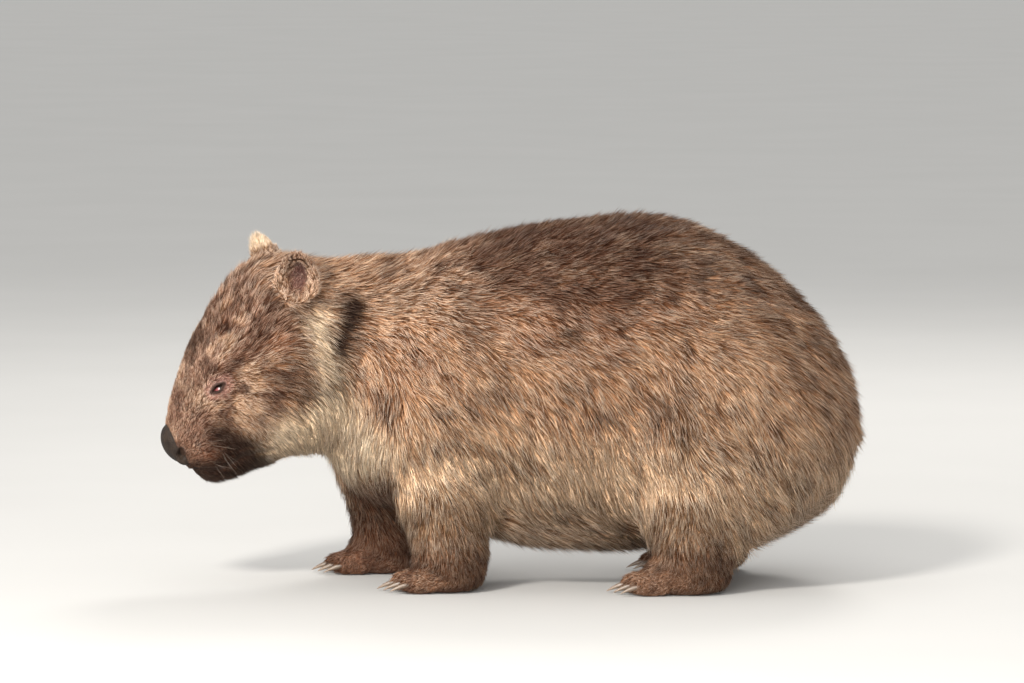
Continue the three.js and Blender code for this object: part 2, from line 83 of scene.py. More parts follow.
# %% [markdown]
# ## Forms as distance fields
#
# Flesh has no edges: a shoulder swells out of a chest and sinks into a leg. Such forms are easiest to
# write as distance fields, functions that are negative inside the form and grow with the distance to it.
# Two fields flow into one with a soft minimum, which fills the crease between them. A form written this
# way is a function of x, y and z that works on whole arrays at once, and a frame of its own moves it.


# %% Ellipsoids and limbs
def ellipsoid(centre, radii, pitch=0.0):
    """An ellipsoid, tipped by some degrees about the Y axis."""
    c, s = math.cos(math.radians(pitch)), math.sin(math.radians(pitch))

    def field(x, y, z):
        dx, dz = x - centre[0], z - centre[2]
        parts = (c * dx + s * dz, y - centre[1], c * dz - s * dx)
        k0 = np.sqrt(sum((p / r) ** 2 for p, r in zip(parts, radii)))
        k1 = np.sqrt(sum((p / r**2) ** 2 for p, r in zip(parts, radii)))
        return k0 * (k0 - 1) / np.maximum(k1, 1e-6)

    return field


def limb(start, end, start_radius, end_radius):
    """A round limb between two points, thicker at one end than at the other."""
    a, ab = np.array(start, float), np.subtract(end, start).astype(float)

    def field(x, y, z):
        d = (x - a[0], y - a[1], z - a[2])
        t = np.clip(sum(p * q for p, q in zip(d, ab)) / (ab @ ab), 0, 1)
        away = np.sqrt(sum((p - t * q) ** 2 for p, q in zip(d, ab)))
        return away - (start_radius + t * (end_radius - start_radius))

    return field


ball = ellipsoid((0, 0, 0), (10, 10, 10))
print("15 mm from the middle of a 10 mm ball, the field says", round(float(ball(15.0, 0.0, 0.0)), 2))


# %% Blend forms, and move them by a frame
def soft_min(a, b, k):
    """The smaller of two fields, with the crease between them filled over a width of k."""
    h = np.maximum(k - np.abs(a - b), 0) / k
    return np.minimum(a, b) - h * h * k / 4


def soft_max(a, b, k):
    return -soft_min(-a, -b, k)


def blend(k, *fields):
    return lambda x, y, z: functools.reduce(lambda a, b: soft_min(a, b, k), (f(x, y, z) for f in fields))


def seen_from(matrix, x, y, z):
    """The same points in the coordinates of a frame of their own."""
    e = np.linalg.inv(matrix)
    return tuple(e[i, 0] * x + e[i, 1] * y + e[i, 2] * z + e[i, 3] for i in range(3))


def in_frame(field, matrix):
    return lambda x, y, z: field(*seen_from(matrix, x, y, z))


print("two fields of 5 mm flow into one of", round(float(soft_min(5.0, 5.0, 8.0)), 2), "mm")

# %% [markdown]
# ## Soft edges and slow noise
#
# Nothing on an animal starts at a line. A smooth step runs from nothing to all between two limits, and
# takes them in either order. Noise then bends and breaks what the steps make: random numbers at the
# points of a lattice, with smooth steps between them, always the same ones for the same seed.


# %% A smooth step and a noise
def smooth_step(low, high, value):
    t = np.clip((value - low) / (high - low), 0, 1)
    return t * t * (3 - 2 * t)


def value_noise(p, size, seed):
    """Noise between -1 and 1 with features about size across."""
    count = 48
    lattice = np.random.default_rng(seed).uniform(-1, 1, (count, count, count))
    q = p / size
    i = np.floor(q).astype(int)
    f = q - i
    f = f * f * (3 - 2 * f)
    total = 0
    for corner in np.ndindex(2, 2, 2):
        weight = np.prod(np.where(corner, f, 1 - f), axis=1)
        total = total + weight * lattice[tuple(((i + corner) % count).T)]
    return total


print("noise at three points:", value_noise(np.array([[0.0, 0, 0], [5, 0, 0], [10, 0, 0]]), 10, 1).round(2))

# %% [markdown]
# ## The masses of the body
#
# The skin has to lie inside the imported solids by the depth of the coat, so it starts from the same
# masses: a skull with forehead, cheeks, muzzle and chin, a barrel of a trunk, haunches and short legs.
# The head has a frame of its own, tipped down and turned a little to the animal's left, in which u runs
# from nape to nose, v to the left and w up to the forehead. That keeps the face symmetric while it turns.

# %% Masses of the head
HEAD_PITCH, HEAD_YAW = math.radians(38), math.radians(12)
NAPE = (-192.0, 0.0, 240.0)
HEAD = (
    Matrix.Translation(NAPE)
    @ Matrix.Rotation(math.pi + HEAD_YAW, 4, "Z")
    @ Matrix.Rotation(HEAD_PITCH, 4, "Y")
)
HEAD_FRAME = np.array(HEAD)
FIRM_BLEND = 14


def pair(centre, radii, pitch=0.0):
    """The same ellipsoid on the left and on the right of the head."""
    u, v, w = centre
    return [ellipsoid((u, side * v, w), radii, pitch) for side in (1, -1)]


skull = ellipsoid((6, 0, 38), (74, 80, 87), -18)
forehead = ellipsoid((72, 0, 44), (60, 54, 57), -32)
cheeks = pair((50, 38, -6), (66, 48, 68), -8)
muzzle = ellipsoid((120, 0, 16), (59, 44, 54), -17)
jaw = ellipsoid((98, 0, -20), (48, 44, 34), 10)
brows = pair((88, 40, 60), (32, 20, 19), -30)
lips = pair((155, 17, -4), (24, 21, 21))
chin = ellipsoid((150, 0, -25), (27, 24, 17), 10)
sockets = blend(1, *pair((112, 64, 43), (18, 12, 13), -10))
firm_head = blend(FIRM_BLEND, blend(30, skull, forehead, *cheeks, muzzle, jaw), *brows, *lips, chin)


def head_form(u, v, w):
    return soft_max(firm_head(u, v, w), -sockets(u, v, w), FIRM_BLEND)


print("depth of the middle of the head:", round(float(-head_form(60.0, 0.0, 20.0)), 1), "mm")

# %% Where the legs stand, and how they bend
# Height of the back, half the width at the hips and at the shoulders, and height of the trunk's middle
BACK_HEIGHT, HIP, SHOULDER, TRUNK_MIDDLE = 388, 143, 118, 208
LEGS = {
    "foreleg_left": dict(side=-1, bend=(-64, 76, 96), ankle=(-58, 77, 44), paw=-62),
    "foreleg_right": dict(side=1, bend=(-126, 76, 100), ankle=(-122, 77, 44), paw=-134),
    "hindleg_left": dict(side=-1, bend=(186, 94, 92), ankle=(190, 95, 46), paw=180),
    "hindleg_right": dict(side=1, bend=(208, 94, 92), ankle=(212, 95, 46), paw=204),
}
TOES = range(-2, 3)
TOE_PITCH, TOE_HEIGHT = 12.5, 11


def is_hind(leg):
    return leg["paw"] > 0


def outwards(leg, point):
    """A point given for a right leg, on this leg's own side."""
    return (point[0], leg["side"] * point[1], point[2])


def haunch(leg):
    """The thigh or the shoulder above a leg."""
    x, y, _ = leg["bend"]
    if is_hind(leg):
        return ellipsoid(outwards(leg, (x + 30, y - 8, 146)), (98, 56, 112), -10)
    return ellipsoid(outwards(leg, (x - 6, y - 6, 168)), (64, 44, 106), 10)


def toe_point(leg, n):
    """The middle of toe n, counted from the middle toe; the outer toes stand further back."""
    forward = leg["paw"] - (44 if is_hind(leg) else 36) + 5 * abs(n)
    return (forward, leg["side"] * leg["ankle"][1] + n * TOE_PITCH, TOE_HEIGHT)


def foot(leg):
    """Shank, palm and five toes."""
    thick, thin = (52, 44) if is_hind(leg) else (48, 41)
    shank = limb(outwards(leg, leg["bend"]), outwards(leg, leg["ankle"]), thick, thin)
    middle = outwards(leg, (leg["paw"], leg["ankle"][1], 18))
    palm = ellipsoid(middle, (47 if is_hind(leg) else 38, 33, 23))
    toes = [ellipsoid(toe_point(leg, n), (23, 7.8, 13.5)) for n in TOES]
    return blend(16, blend(4, palm, *toes), shank)


print("toes of the near forefoot at x:", [toe_point(LEGS["foreleg_left"], n)[0] for n in TOES])

# %% Masses of the trunk
barrel = ellipsoid((134, 0, TRUNK_MIDDLE), (171, HIP - 10, BACK_HEIGHT - TRUNK_MIDDLE - 3), -4)
rump = ellipsoid((236, 0, 193), (144, HIP - 12, 119), -52)
seat = ellipsoid((252, 0, 138), (80, HIP - 24, 84))
ribs = ellipsoid((28, 0, TRUNK_MIDDLE - 5), (152, HIP - 18, 168), 3)
shoulders = ellipsoid((-66, 0, 211), (112, SHOULDER - 4, 134))
chest = ellipsoid((-116, 0, 148), (66, 88, 62))
nape = ellipsoid((-144, 0, 238), (96, 92, 104))
trunk = blend(46, barrel, rump, seat, ribs, shoulders)
torso = blend(40, trunk, chest, *(haunch(leg) for leg in LEGS.values()))
outline = blend(30, torso, nape, in_frame(head_form, HEAD_FRAME))
tail = limb((330, 0, 176), (358, 0, 152), 15, 6)
print("depth of the middle of the barrel:", round(float(-outline(134.0, 0.0, 208.0)), 1), "mm")

# %% [markdown]
# ## The ears
#
# A wombat's ear is a short rounded leaf, furred on its back and nearly bare in the cup. As a field it is
# a bowl-shaped sheet a few millimetres thick: the distance from the sheet's middle, less half the
# thickness, cut off softly at the rim. The same field blends into the skull at its root.

# %% Ears as bowl-shaped sheets
EAR = dict(length=54, width=42, taper=0.16, cup=12, wall=4.2, lift=0.3)
EARS = {
    "left": dict(root=(-9, 75, 75), along=(-0.6, 0.36, 0.72), opening=(0.42, 0.9, -0.05)),
    "right": dict(root=(-13, -62, 83), along=(-0.34, -0.3, 0.9), opening=(0.75, -0.66, 0)),
}


def standing(at, along, outside):
    """A frame whose second axis runs along a direction and whose third leans to the outside."""
    y = Vector(along).normalized()
    x = y.cross(Vector(outside)).normalized()
    matrix = Matrix((x, y, x.cross(y))).transposed().to_4x4()
    matrix.translation = at
    return np.array(matrix)


def leaf(x, y, z):
    """One ear in its own frame: x across it, y towards its tip, z out of the cup."""
    half_length, half_width = EAR["length"] / 2, EAR["width"] / 2
    b = (y - EAR["lift"] * EAR["length"]) / half_length
    a = x / (half_width * (1 - EAR["taper"] * np.clip(b, -1, 1)))
    rim = np.sqrt(a * a + b * b)
    inside = np.clip(1 - rim * rim, 0, 1)
    slope = 2 * EAR["cup"] * np.minimum(rim, 1) / half_width
    sheet = np.abs(z + EAR["cup"] * inside) / np.sqrt(1 + slope**2) - EAR["wall"] / 2
    return soft_max(sheet, (rim - 1) * half_width, 3)


def ear_frame(side):
    ear = EARS[side]
    return HEAD_FRAME @ standing(ear["root"], ear["along"], ear["opening"])


ears = blend(1, *(in_frame(leaf, ear_frame(side)) for side in EARS))
for side in EARS:
    tip = ear_frame(side) @ (0, EAR["length"] * (0.5 + EAR["lift"]), 0, 1)
    print("tip of the", side, "ear in mm:", tip[:3].round(1))

# %% [markdown]
# ## Coat depth and the skin's field
#
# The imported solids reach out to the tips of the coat. The skin lies deeper: by about a centimetre on the
# trunk, where the hair is longest, by a millimetre or two on the muzzle, and by two to four on the paws.
# Adding that depth to the outline's distance gives the skin. The legs, the ears and the tail join it with
# short blends, and a level cut makes the soles flat just above the floor.

# %% The field of the skin
SOLE = 0.5
# Depth of the coat in mm, by the distance u along the head and by the height on a leg
DEPTH_ALONG_HEAD = ((-20, 30, 60, 110, 150, 172), (9.2, 6.0, 4.0, 2.2, 1.8, 1.2))
DEPTH_UP_LEG = ((10, 40, 110), (2.2, 4.0, 8.0))


def coat_depth(x, y, z):
    return np.interp(seen_from(HEAD_FRAME, x, y, z)[0], *DEPTH_ALONG_HEAD)


def legs_skin(x, y, z):
    return blend(1, *(foot(leg) for leg in LEGS.values()))(x, y, z) + np.interp(z, *DEPTH_UP_LEG)


snout_end = in_frame(ellipsoid((162, 0, 13), (22, 30, 30)), HEAD_FRAME)
ruffs = in_frame(blend(1, *pair((16, 50, -6), (32, 31, 52))), HEAD_FRAME)


def body_skin(x, y, z):
    covered = outline(x, y, z) + coat_depth(x, y, z)
    return soft_min(soft_min(covered, snout_end(x, y, z), 8), ruffs(x, y, z), 12)


def skin_field(x, y, z):
    d = soft_min(body_skin(x, y, z), legs_skin(x, y, z), 22)
    d = soft_min(d, ears(x, y, z), 9)
    d = soft_min(d, tail(x, y, z) + 2, 12)
    return np.maximum(d, SOLE - z)


print("coat over the back and over the nose bridge:", coat_depth(100, 0, 380), coat_depth(-330, 0, 180))

# %% [markdown]
# ## From a field to a mesh
#
# A field becomes a mesh by sampling it on a grid and putting one vertex into each cell that the surface
# crosses. Neighbouring cells share a quad. This keeps the faces even, which matters because the coat is
# planted on them. Along the animal the grid is finer over the head, where small forms count, than over
# the trunk. At the end each vertex slides along the field's slope until it lies on the surface itself.

# %% Slopes, and points on the surface
FLATTEST = 0.04


def slope_of(field, p, step=0.4):
    """How fast a field grows along X, Y and Z at each point."""
    axes = np.eye(3) * step
    return np.stack([(field(*(p + a).T) - field(*(p - a).T)) / (2 * step) for a in axes], -1)


def onto_surface(field, points, reach, rounds=3):
    """Points slid along the slope to where the field is nothing, but no further than reach."""
    start = points.copy()
    for _ in range(rounds):
        g = slope_of(field, points)
        pull = field(*points.T)[:, None] * g / np.maximum((g * g).sum(1, keepdims=True), FLATTEST)
        points = np.clip(points - pull, start - reach, start + reach)
    return points


print("slope on the back:", slope_of(skin_field, np.array([[100.0, 0.0, 376.0]])).round(2))


# %% A mesh from a field
def cells_to_mesh(field, xs, ys, zs):
    """One vertex in each cell that the surface crosses, and one quad for each crossed grid edge."""
    axes = (xs, ys, zs)
    values = field(xs[:, None, None], ys[None, :, None], zs[None, None, :]).astype(np.float32)
    inside = values < 0
    count = sum(
        inside[a : len(xs) - 1 + a, b : len(ys) - 1 + b, c : len(zs) - 1 + c].astype(np.int8)
        for a in (0, 1)
        for b in (0, 1)
        for c in (0, 1)
    )
    cell = np.argwhere((count > 0) & (count < 8))
    total, crossings = np.zeros((len(cell), 3)), np.zeros(len(cell))
    for axis in range(3):
        along = np.eye(3, dtype=int)[axis]
        across = [np.eye(3, dtype=int)[(axis + n) % 3] for n in (1, 2)]
        for corner in (0 * along, across[0], across[1], across[0] + across[1]):
            first, last = cell + corner, cell + corner + along
            a, b = values[tuple(first.T)], values[tuple(last.T)]
            crossed = (a < 0) != (b < 0)
            t = np.where(crossed, a / np.where(crossed, a - b, 1), 0)[:, None]
            p = np.stack([g[i] for g, i in zip(axes, first.T)], -1)
            q = np.stack([g[i] for g, i in zip(axes, last.T)], -1)
            total += np.where(crossed[:, None], p + t * (q - p), 0)
            crossings += crossed
    vertex = np.full(values.shape, -1, np.int32)
    vertex[tuple(cell.T)] = np.arange(len(cell))
    quads = []
    for axis in range(3):
        near = [slice(1, None)] * 3
        near[axis] = slice(None, -1)
        far = list(near)
        far[axis] = slice(1, None)
        here = np.argwhere(inside[tuple(near)] != inside[tuple(far)]) + (np.arange(3) != axis)
        u, w = np.eye(3, dtype=int)[(axis + 1) % 3], np.eye(3, dtype=int)[(axis + 2) % 3]
        quad = np.stack([vertex[tuple((here - d).T)] for d in (0 * u, u, u + w, w)], -1)
        flip = ~inside[tuple(here.T)]
        quad[flip] = quad[flip][:, ::-1]
        quads.append(quad)
    return total / crossings[:, None], np.concatenate(quads)


# %% The mesh of the skin
FINE, COARSE, CELL = 2.4, 5.0, 3.0
HEAD_BACK = -160
grid_x = np.concatenate([np.arange(-396, HEAD_BACK, FINE), np.arange(HEAD_BACK, 395, COARSE)])
grid_y = np.arange(-168, 169, CELL)
grid_z = np.arange(-5.8, 412, CELL)
points, quads = cells_to_mesh(skin_field, grid_x, grid_y, grid_z)
points = onto_surface(skin_field, points, FINE)
print("skin vertices:", len(points), "quads:", len(quads))

# %% [markdown]
# ## Eyes, lips and nostrils in the skin
#
# The small forms of the face are finer than the grid, so the faces around the eyes, the nose and the
# mouth are divided again. Then each vertex there moves along its normal by a relief, a height written as
# a formula: lids that arch over the eyeball and leave a half-closed slit, folds around them, the groove
# of the mouth and the dents of the nostrils. The eyeballs stay pieces of their own behind the lids.

# %% Frames of the eyes
EYE = dict(at=(111, 43), radius=9.0, sink=3.0)
SIDES = {"left": 1, "right": -1}


def eye_frame(side):
    """A frame on the side of the head, found by halving the way out, that faces out of the head."""
    u, w = EYE["at"]
    near, far = 0.0, 200.0
    for _ in range(40):
        middle = (near + far) / 2
        near, far = (middle, far) if head_form(u, side * middle, w) < 0 else (near, middle)
    at = np.array([[u, side * near, w]])
    return HEAD_FRAME @ standing(at[0], (-0.5, 0, 1), slope_of(head_form, at, 2)[0])


EYE_FRAMES = {name: eye_frame(side) for name, side in SIDES.items()}
print("left eye at", EYE_FRAMES["left"][:3, 3].round(1), "mm")

# %% Divide the faces of the face again
EYE_CIRCLES = (20, 15)
SNOUT_MIDDLE, SNOUT_REACH = (152, 0, -8), 40


def divide_within(work, centre, radius):
    """Cut every edge near a centre in two, which makes four faces of one."""
    edges = [e for e in work.edges if all((v.co - Vector(centre)).length < radius for v in e.verts)]
    bmesh.ops.subdivide_edges(work, edges=edges, cuts=1, use_grid_fill=True)


def from_head(u, v, w):
    return (HEAD @ Vector((u, v, w)))[:]


mesh = bpy.data.meshes.new("skin")
mesh.from_pydata(points, [], quads)
work = bmesh.new()
work.from_mesh(mesh)
for eye in EYE_FRAMES.values():
    for radius in EYE_CIRCLES:
        divide_within(work, eye[:3, 3], radius)
divide_within(work, from_head(*SNOUT_MIDDLE), SNOUT_REACH)
work.to_mesh(mesh)
work.free()
points = np.empty(len(mesh.vertices) * 3)
mesh.vertices.foreach_get("co", points)
points = onto_surface(skin_field, points.reshape(-1, 3), FINE)
normals = slope_of(skin_field, points)
normals /= np.linalg.norm(normals, axis=1, keepdims=True)
print("after dividing the face:", len(points), "vertices")

# %% Relief of lids and folds
SLIT = dict(half_length=7.0, half_height=2.3, slant=math.radians(28), depth=5.0, forward=1.2, above=2.2)
LID = dict(cover=1.1, rim=1.1, rim_at=1.2, rim_width=1.3)
# Height, distance from the slit and width of each fold
FOLDS = ((-0.9, 5.2, 1.0), (0.8, 7.6, 1.6), (-0.6, 10.2, 1.2))


def local(matrix, p):
    """Rows of points in the coordinates of a frame."""
    e = np.linalg.inv(matrix)
    return p @ e[:3, :3].T + e[:3, 3]


def ridge(d, height, at, width):
    """A rounded ridge at some distance from a line, or a groove where its height is negative."""
    return height * np.exp(-(((d - at) / width) ** 2))


def slit_distance(a, b):
    """Distance from the almond outline of the slit, negative inside it."""
    arch = SLIT["half_height"] * (1 - (a / SLIT["half_length"]) ** 2)
    within = np.abs(b) - np.maximum(arch, -2)
    return np.where(np.abs(a) < SLIT["half_length"], within, np.hypot(np.abs(a) - SLIT["half_length"], b))


def eye_relief(p, name):
    """Height of lids and folds around one eye, and each point's distance from its slit."""
    a, b, c = local(EYE_FRAMES[name], p).T
    side = SIDES[name]
    turn = side * SLIT["slant"]
    r2 = a * a + b * b
    a, b = a + side * SLIT["forward"], b - SLIT["above"]
    a, b = a * math.cos(turn) + b * math.sin(turn), b * math.cos(turn) - a * math.sin(turn)
    near = (r2 < 26**2) & (np.abs(c) < 20)
    shell = EYE["radius"] + LID["cover"]
    front = -EYE["sink"] + LID["cover"] - shell + np.sqrt(np.maximum(shell**2 - r2, 0))
    lid = np.where(r2 < (0.8 * shell) ** 2, soft_max(front - c, 0 * c, 2.0), 0)
    d = slit_distance(a, b)
    rim = ridge(d, LID["rim"], LID["rim_at"], LID["rim_width"])
    wrinkles = ridge(d, 0.8 * value_noise(p, 3.4, 21), 5.5, 3.5)
    folds = sum(ridge(d, *fold) for fold in FOLDS) + wrinkles
    opening = smooth_step(0.5, -0.5, d)
    height = (lid + rim) * (1 - opening) - opening * SLIT["depth"] + folds * (1 - opening)
    return np.where(near, height, 0), d


print("the left eye's lids rise", eye_relief(points, "left")[0].max().round(2), "mm")

# %% Lips and nostrils
# The line between the lips, in the head's u and w: back from under the nose and down to the corner
MOUTH = np.array([(178, -9), (170, -17), (160, -23), (148, -26), (134, -25), (122, -29), (106, -36)])
NOSTRIL = dict(at=(180, 17.5, 11), radii=(9, 6, 3.4), turn=35, roll=35)
FAR = 1e3


def line_distance(p, q, line):
    """Distance in the plane of p and q from a line of straight stretches."""
    best = np.full(len(p), FAR)
    for (p0, q0), (p1, q1) in zip(line[:-1], line[1:]):
        dp, dq = p1 - p0, q1 - q0
        t = np.clip(((p - p0) * dp + (q - q0) * dq) / (dp**2 + dq**2), 0, 1)
        best = np.minimum(best, np.hypot(p - p0 - t * dp, q - q0 - t * dq))
    return best


def nostril(side):
    """A slanted hollow, which dents the skin here and the nose pad later."""
    at = (NOSTRIL["at"][0], side * NOSTRIL["at"][1], NOSTRIL["at"][2])
    matrix = (
        Matrix.Translation(at)
        @ Matrix.Rotation(math.radians(side * NOSTRIL["turn"]), 4, "Z")
        @ Matrix.Rotation(math.radians(side * NOSTRIL["roll"]), 4, "X")
    )
    return in_frame(ellipsoid((0, 0, 0), NOSTRIL["radii"]), np.array(matrix))


nostrils = [nostril(side) for side in (1, -1)]
along_head, across_head, up_head = local(HEAD_FRAME, points).T
nostril_gap = np.min([hole(along_head, across_head, up_head) for hole in nostrils], axis=0)
nostril_gap = np.maximum(nostril_gap, 0)
mouth_gap = line_distance(along_head, up_head, MOUTH)
print("vertices on the lips:", int((mouth_gap < 2).sum()), "in the nostrils:", int((nostril_gap < 1).sum()))

# %% Add up the relief and move the skin
EYE_REACH = 30
relief = ridge(mouth_gap, -3.0, 0, 1.7) + ridge(mouth_gap, 1.0, 4.6, 2.2) + ridge(nostril_gap, -3.5, 0, 1.8)
eye_gap = np.full(len(points), FAR)
for name, eye in EYE_FRAMES.items():
    height, gap = eye_relief(points, name)
    relief += height
    near_eye = np.linalg.norm(local(eye, points), axis=1) < EYE_REACH
    eye_gap = np.minimum(eye_gap, np.where(near_eye, gap, FAR))
skin_points = points + normals * relief[:, None]
print("relief from", relief.min().round(2), "to", relief.max().round(2), "mm")

# %% [markdown]
# ## Which way the hair lies
#
# Hair on a living animal streams back from the nose and over the brow, fans down over the cheeks, then
# runs along the trunk, sinking lower towards the belly, and down the legs to the toes. Each stream is a
# direction given by a few numbers. They are mixed by where a point lies, bent by slow noise as real hair
# is, and laid flat on the skin by taking away the part that points along the normal.


# %% Mixing directions and colours
def mixed(a, b, amount):
    """Rows of directions or colours, moved towards b by an amount for each row."""
    amount = np.asarray(amount)[:, None]
    return a + (np.asarray(b, float) - a) * amount


def unit(v):
    return v / np.maximum(np.linalg.norm(v, axis=-1, keepdims=True), 1e-9)


print("halfway from X to Z:", unit(mixed(np.array([[1.0, 0, 0]]), (0, 0, 1), [0.5])).round(2))

# %% Where each point lies
MIDRIFF = 50
TAIL_START, TAIL_BOTTOM = 320, 100
x, y, z = skin_points.T
u, v, w = local(HEAD_FRAME, skin_points).T
from_body = soft_min(body_skin(*points.T), 0 * x + 60, 1)
on_leg = smooth_step(1, 15, from_body) * (legs_skin(*points.T) < 4)
ankle = {name: leg["ankle"][0] for name, leg in LEGS.items()}
ankle_x = np.select(
    [(x > MIDRIFF) & (y < 0), x > MIDRIFF, y < 0],
    [ankle["hindleg_left"], ankle["hindleg_right"], ankle["foreleg_left"]],
    ankle["foreleg_right"],
)
on_paw = on_leg * smooth_step(44, 22, z + 0.5 * np.clip(x - ankle_x + 26, 0, 60))
on_ear = smooth_step(1, 7, from_body) * (ears(*points.T) < 3) * (x < HEAD_BACK)
on_tail = smooth_step(0, 5, from_body) * (x > TAIL_START) * (z > TAIL_BOTTOM)
on_head = smooth_step(-6, 26, u) * smooth_step(-125, -95, w) * (1 - on_leg)
facing_down = smooth_step(-0.45, -0.85, normals[:, 2])
for label, amount in (("legs", on_leg), ("paws", on_paw), ("ears", on_ear), ("head", on_head)):
    print("vertices on the", label + ":", int(amount.sum()))

# %% The lie of the hair on trunk and head
NOSE_TIP = np.array(from_head(196, 0, 4))
DOWN_THE_LEG, TOWARDS_THE_TOES, ALONG_THE_TAIL = (0.25, 0, -1), (-0.8, 0, -0.5), (0.7, 0, -0.7)
ALONG_THE_BELLY, BEHIND_THE_EYE = (1, 0, -0.1), (0.75, 0, -0.45)


def falling(angle):
    """Directions that run back and fall by an angle for each vertex."""
    return np.stack([np.cos(angle), 0 * x, -np.sin(angle)], -1)


lie = falling(np.radians(np.interp(z, (60, 130, 210, 290, 350), (66, 62, 50, 30, 12))))
lie = mixed(lie, DOWN_THE_LEG, smooth_step(-70, -150, x) * smooth_step(250, 170, z))
lie = mixed(lie, ALONG_THE_BELLY, facing_down)
streaming = unit(skin_points - NOSE_TIP)
streaming = mixed(streaming, BEHIND_THE_EYE, smooth_step(95, 10, u) * smooth_step(60, 20, w))
fan = falling(np.radians(np.clip(17 + 0.6 * (x + 265) + 0.6 * (195 - z), -30, 86)))
streaming = mixed(streaming, fan, smooth_step(262, 222, z) * smooth_step(-318, -285, x))
lie = mixed(lie, streaming, on_head)
print("mean direction on the trunk:", lie[on_head < 0.5].mean(0).round(2))

# %% The lie on legs, tail and ears, and what disturbs it
lie = mixed(lie, DOWN_THE_LEG, on_leg)
lie = mixed(lie, TOWARDS_THE_TOES, on_paw)
lie = mixed(lie, ALONG_THE_TAIL, on_tail)
for side in EARS:
    here = on_ear * (local(HEAD_FRAME, skin_points)[:, 1] * SIDES[side] > 0)
    lie = mixed(lie, ear_frame(side)[:3, 1], here)
swirl = np.stack([value_noise(skin_points, 42, seed) for seed in (3, 4, 5)], -1)
ruffle = np.stack([value_noise(skin_points, 15, seed) for seed in (16, 17, 18)], -1)
ruffled = 0.30 - 0.16 * on_head + 0.3 * on_ear
lie = unit(lie) + (0.30 - 0.14 * on_head)[:, None] * swirl + ruffled[:, None] * ruffle
lie = unit(lie - normals * (lie * normals).sum(1, keepdims=True))
print("steepest fall:", lie[:, 2].min().round(2))

# %% [markdown]
# ## Length, girth and closeness of the tufts
#
# The coat is longest on the flanks and the cheek ruff, short on the brow, and almost velvet on muzzle
# and paws, with a short beard under the chin. Lids, the mouth line, the inside of the ears and the soles
# are nearly bare. These measures are stored on the skin's vertices, where the planting reads them.

# %% Rim, cup and top of the ears
ear_rim = np.zeros(len(skin_points))
ear_cup = np.zeros(len(skin_points))
ear_top = np.zeros(len(skin_points))
for side in EARS:
    a, b, c = local(ear_frame(side), skin_points).T
    b = (b - EAR["lift"] * EAR["length"]) / (EAR["length"] / 2)
    radius = np.hypot(a / (EAR["width"] / 2), b)
    here = on_ear * (SIDES[side] * v > 0)
    ear_rim = np.maximum(ear_rim, here * smooth_step(0.82, 0.98, radius))
    ear_top = np.maximum(ear_top, here * smooth_step(-0.1, 0.7, b))
    cup_side = c + EAR["cup"] * np.clip(1 - radius**2, 0, 1) > 0
    hollow = np.hypot(a / (0.23 * EAR["width"]), (b + 0.02) / 0.68)
    ear_cup = np.maximum(ear_cup, here * cup_side * smooth_step(1.25, 0.6, hollow))
print("vertices on the rims:", int(ear_rim.sum()), "in the cups:", int(ear_cup.sum()))

# %% Length of the hair in mm
PAW_HAIR, TAIL_HAIR, EAR_HAIR, EAR_FRINGE, BEARD, CHEEK_EXTRA = 4.5, 8, 6.0, 4.0, 5.0, 5


def towards(a, b, amount):
    return a + (b - a) * amount


length = np.interp(z, (60, 160, 260, 380), (23, 25, 21, 17))
head_length = np.interp(u, (0, 40, 80, 115, 150, 175), (21, 17, 11, 8, 6, 4.5))
head_length *= 1 - 0.25 * smooth_step(40, 80, w)
head_length += CHEEK_EXTRA * smooth_step(10, -25, w) * smooth_step(112, 80, u)
length = towards(length, head_length, on_head)
length = towards(length, np.interp(z, (20, 45, 110), (8, 13, 20)), on_leg)
length = towards(length, PAW_HAIR, on_paw)
length = towards(length, TAIL_HAIR, on_tail)
length = towards(length, EAR_HAIR + EAR_FRINGE * ear_rim, on_ear)
length *= 1 + 0.14 * value_noise(skin_points, 30, 8)
length *= 0.35 + 0.65 * smooth_step(2, 13, eye_gap)
length *= 0.6 + 0.4 * smooth_step(2, 7, mouth_gap)
length += BEARD * on_head * smooth_step(-16, -34, w) * smooth_step(90, 125, u)
print("hair length from", length.min().round(1), "to", length.max().round(1), "mm")

# %% How steeply the hair stands, how thick it is and how close it grows
depth = coat_depth(*skin_points.T) * (1 - on_leg) + np.interp(z, *DEPTH_UP_LEG) * on_leg
rise = np.clip(0.8 * depth / length, 0.12, 0.42)
rise = towards(rise, 0.45, ear_rim)
rise += 0.35 * on_head * smooth_step(-16, -32, w) * smooth_step(90, 130, u)
girth = np.interp(length, (5, 12, 24), (0.50, 0.76, 1.15))
# The nose pad grows no hair, so its form is needed here
NOSE = dict(at=(172.5, 0, 18), radii=(18, 20.5, 23.5), lean=-4)
nose_distance = ellipsoid(NOSE["at"], NOSE["radii"], -NOSE["lean"])
closeness = 1 / (girth * length)
closeness *= 1 - 0.45 * smooth_step(12, 6, eye_gap) - 0.5 * smooth_step(6, 2.5, eye_gap)
closeness *= 1 - 0.75 * ear_cup
closeness *= 1 - 0.6 * on_paw
closeness *= 1 - 0.3 * on_head * smooth_step(100, 150, u)
closeness *= smooth_step(0.4, 2.5, nostril_gap)
closeness *= 1 - 0.85 * smooth_step(3.2, 1.2, mouth_gap)
closeness *= smooth_step(-0.5, 1.5, nose_distance(u, v, w))
closeness *= 1 - smooth_step(6, 3, z) * smooth_step(-0.3, -0.8, normals[:, 2])
print("girth from", girth.min().round(2), "to", girth.max().round(2), "mm")
